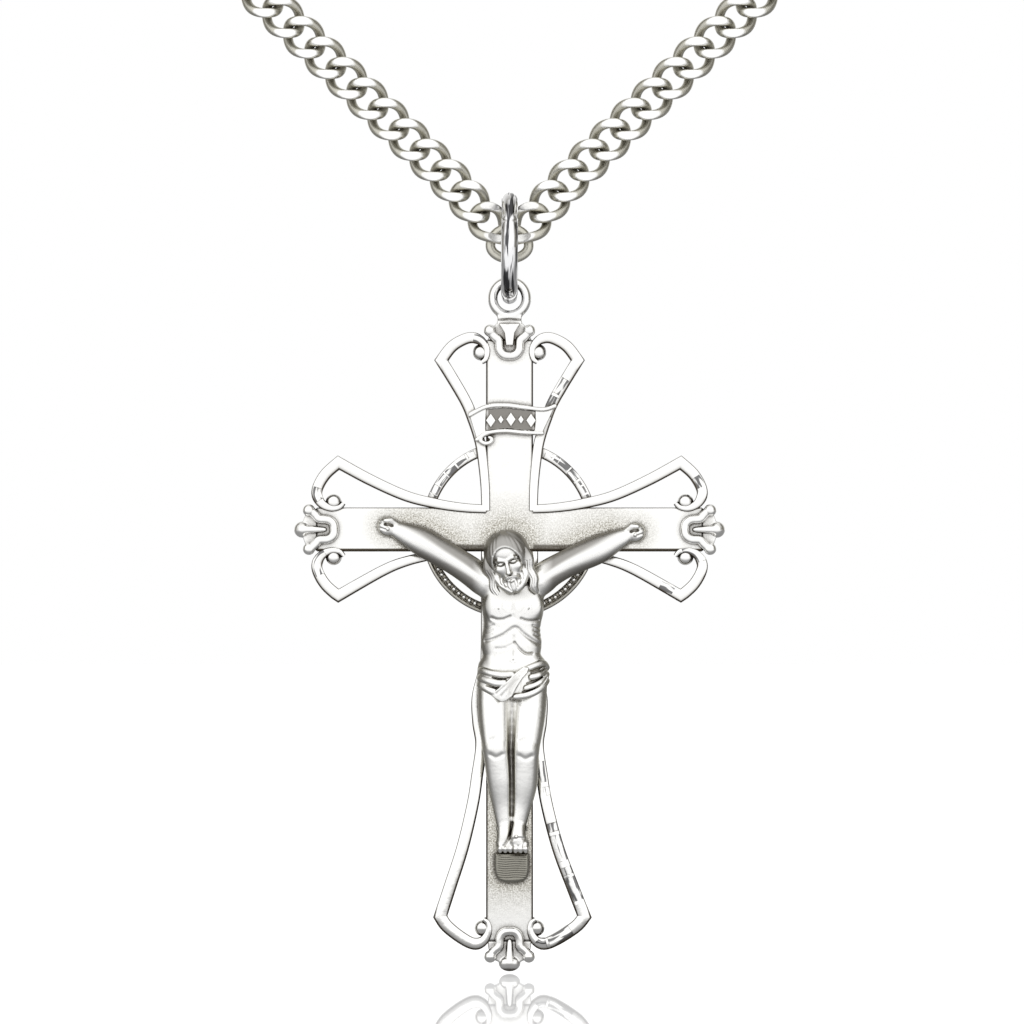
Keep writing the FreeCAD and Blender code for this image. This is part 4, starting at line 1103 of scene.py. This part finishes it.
# jump ring: drawn wire, closed by hand, so its section wanders a little
ROUND, ACROSS = 220, 48
ring_verts, ring_faces, lanes = [], [], []
for i in range(ROUND):
    a = 2 * math.pi * i / ROUND
    r = RING_WIRE / 2 * (1 + 0.012 * math.sin(5 * a + 1) + 0.01 * math.sin(11 * a))
    slit = 0.05 * math.exp(-((math.degrees(a) - 30) / 0.9) ** 2)
    for j in range(ACROSS):
        b = 2 * math.pi * j / ACROSS
        rr = (r - slit) * (1 + 0.008 * math.sin(3 * b + 2 * a)) * 0.985
        d = RING_R + rr * math.cos(b)
        x = rr * math.sin(b) + 0.02 * math.sin(2 * a)
        ring_verts.append((x, -d * math.cos(a), RING_Z + d * math.sin(a)))
        lanes.append((RING_R * ((a + math.pi) % (2 * math.pi)), r * math.cos(b), r * math.sin(b)))
        n, m = (i + 1) % ROUND, (j + 1) % ACROSS
        ring_faces.append((i * ACROSS + j, i * ACROSS + m, n * ACROSS + m, n * ACROSS + j))
ring_faces = outward(np.array(ring_verts), ring_faces)
ring = mesh_piece("wire_jump_ring", ring_verts, ring_faces, "ring", node="jump_ring")
# places along the wire for the painted reflection streaks
store(ring, "lane", lanes)
paint(ring, rhodium)

# clasp and tag: the CAD's own shapes
for name in ("clasp_case", "clasp_eye", "clasp_slider", "end_tag"):
    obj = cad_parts[name]
    obj.data.materials.clear()
    obj.data.materials.append(clasp)


# ---------------------------------------------------------------- floor, light and camera
def texture_space(tree, kind):
    return node(tree, "TexCoord").outputs[kind]


def grey(level):
    return (level, level, level, 1)


bpy.ops.mesh.primitive_circle_add(vertices=96, radius=1.2, fill_type="NGON", location=(0, 0, -0.0001))
floor = bpy.context.object
floor.name = "studio_floor"
paper = bpy.data.materials.new("pale_floor")
paper.use_nodes = True
t = paper.node_tree
grain = noise(t, texture_space(t, "Object"), 400.0)
seen = node(t, "LightPath").outputs["Is Camera Ray"]
ahead = node(t, "SeparateXYZ", {0: texture_space(t, "Object")}).outputs["Y"]
bounce = ramp(t, ahead, -0.012, -0.06, 0.28, 1.0)          # reflections show it bright in front, else dim
glow = node(t, "Emission", {"Color": mix_colour(t, grain, grey(0.97), grey(1)),
                                      "Strength": mix_colour(t, seen, bounce, grey(1.15))})
sheen = node(t, "BsdfGlossy", {"Color": grey(1), "Roughness": 0.02})
edge_on = math_node(t, "MULTIPLY", node(t, "Fresnel", {"IOR": 1.45}).outputs[0], 0.72)
both = node(t, "MixShader", {0: edge_on, 1: glow.outputs[0], 2: sheen.outputs[0]})
t.links.new(both.outputs[0], t.nodes["Material Output"].inputs["Surface"])
floor.data.materials.append(paper)

scene = bpy.context.scene
world = bpy.data.worlds.new("studio")
scene.world = world
world.use_nodes = True
t = world.node_tree
way = node(t, "SeparateXYZ", {0: texture_space(t, "Generated")}).outputs
LAMP_WAY = Vector((-0.12, -0.96, 0.26)).normalized()
aim = node(t, "VectorMath", {0: texture_space(t, "Generated"), 1: LAMP_WAY},
           operation="DOT_PRODUCT").outputs["Value"]
lights = [ramp(t, aim, 0.05, 0.55, 0.0, 1.0),          # a wide lamp behind the camera
          ramp(t, way[1], 0.9, 0.97, 0.0, 1.15),       # a bright patch straight behind the part
          ramp(t, way[1], 0.35, 0.8, 0.0, 0.65),       # a wide, dimmer one round it
          ramp(t, way[2], 0.8, 0.92, 0.0, 0.6)]        # the ceiling
light = lights[0]
for lamp in lights[1:]:
    light = math_node(t, "MAXIMUM", light, lamp)
pattern = mix_colour(t, light, (0.2, 0.19, 0.165, 1), (1.2, 1.2, 1.19, 1))
seen = node(t, "LightPath").outputs["Is Camera Ray"]
t.links.new(mix_colour(t, seen, pattern, grey(1)), t.nodes["Background"].inputs["Color"])
t.nodes["Background"].inputs["Strength"].default_value = 1.0

scene.view_settings.view_transform = "Standard"
camera = bpy.data.cameras.new("camera")
rig = bpy.data.objects.new("camera", camera)
scene.collection.objects.link(rig)
CAMERA_Y, VIEW_X, VIEW_Z, VIEW_WIDE = -600.0, 0.18, 33.82, 75.37        # mm
SENSOR = 36
rig.location = (VIEW_X * MM, CAMERA_Y * MM, VIEW_Z * MM)
rig.rotation_euler = (math.radians(90), 0, 0)
camera.sensor_width = SENSOR
camera.lens = SENSOR * (FRONT - CAMERA_Y) / VIEW_WIDE
camera.clip_start = 0.01
scene.camera = rig
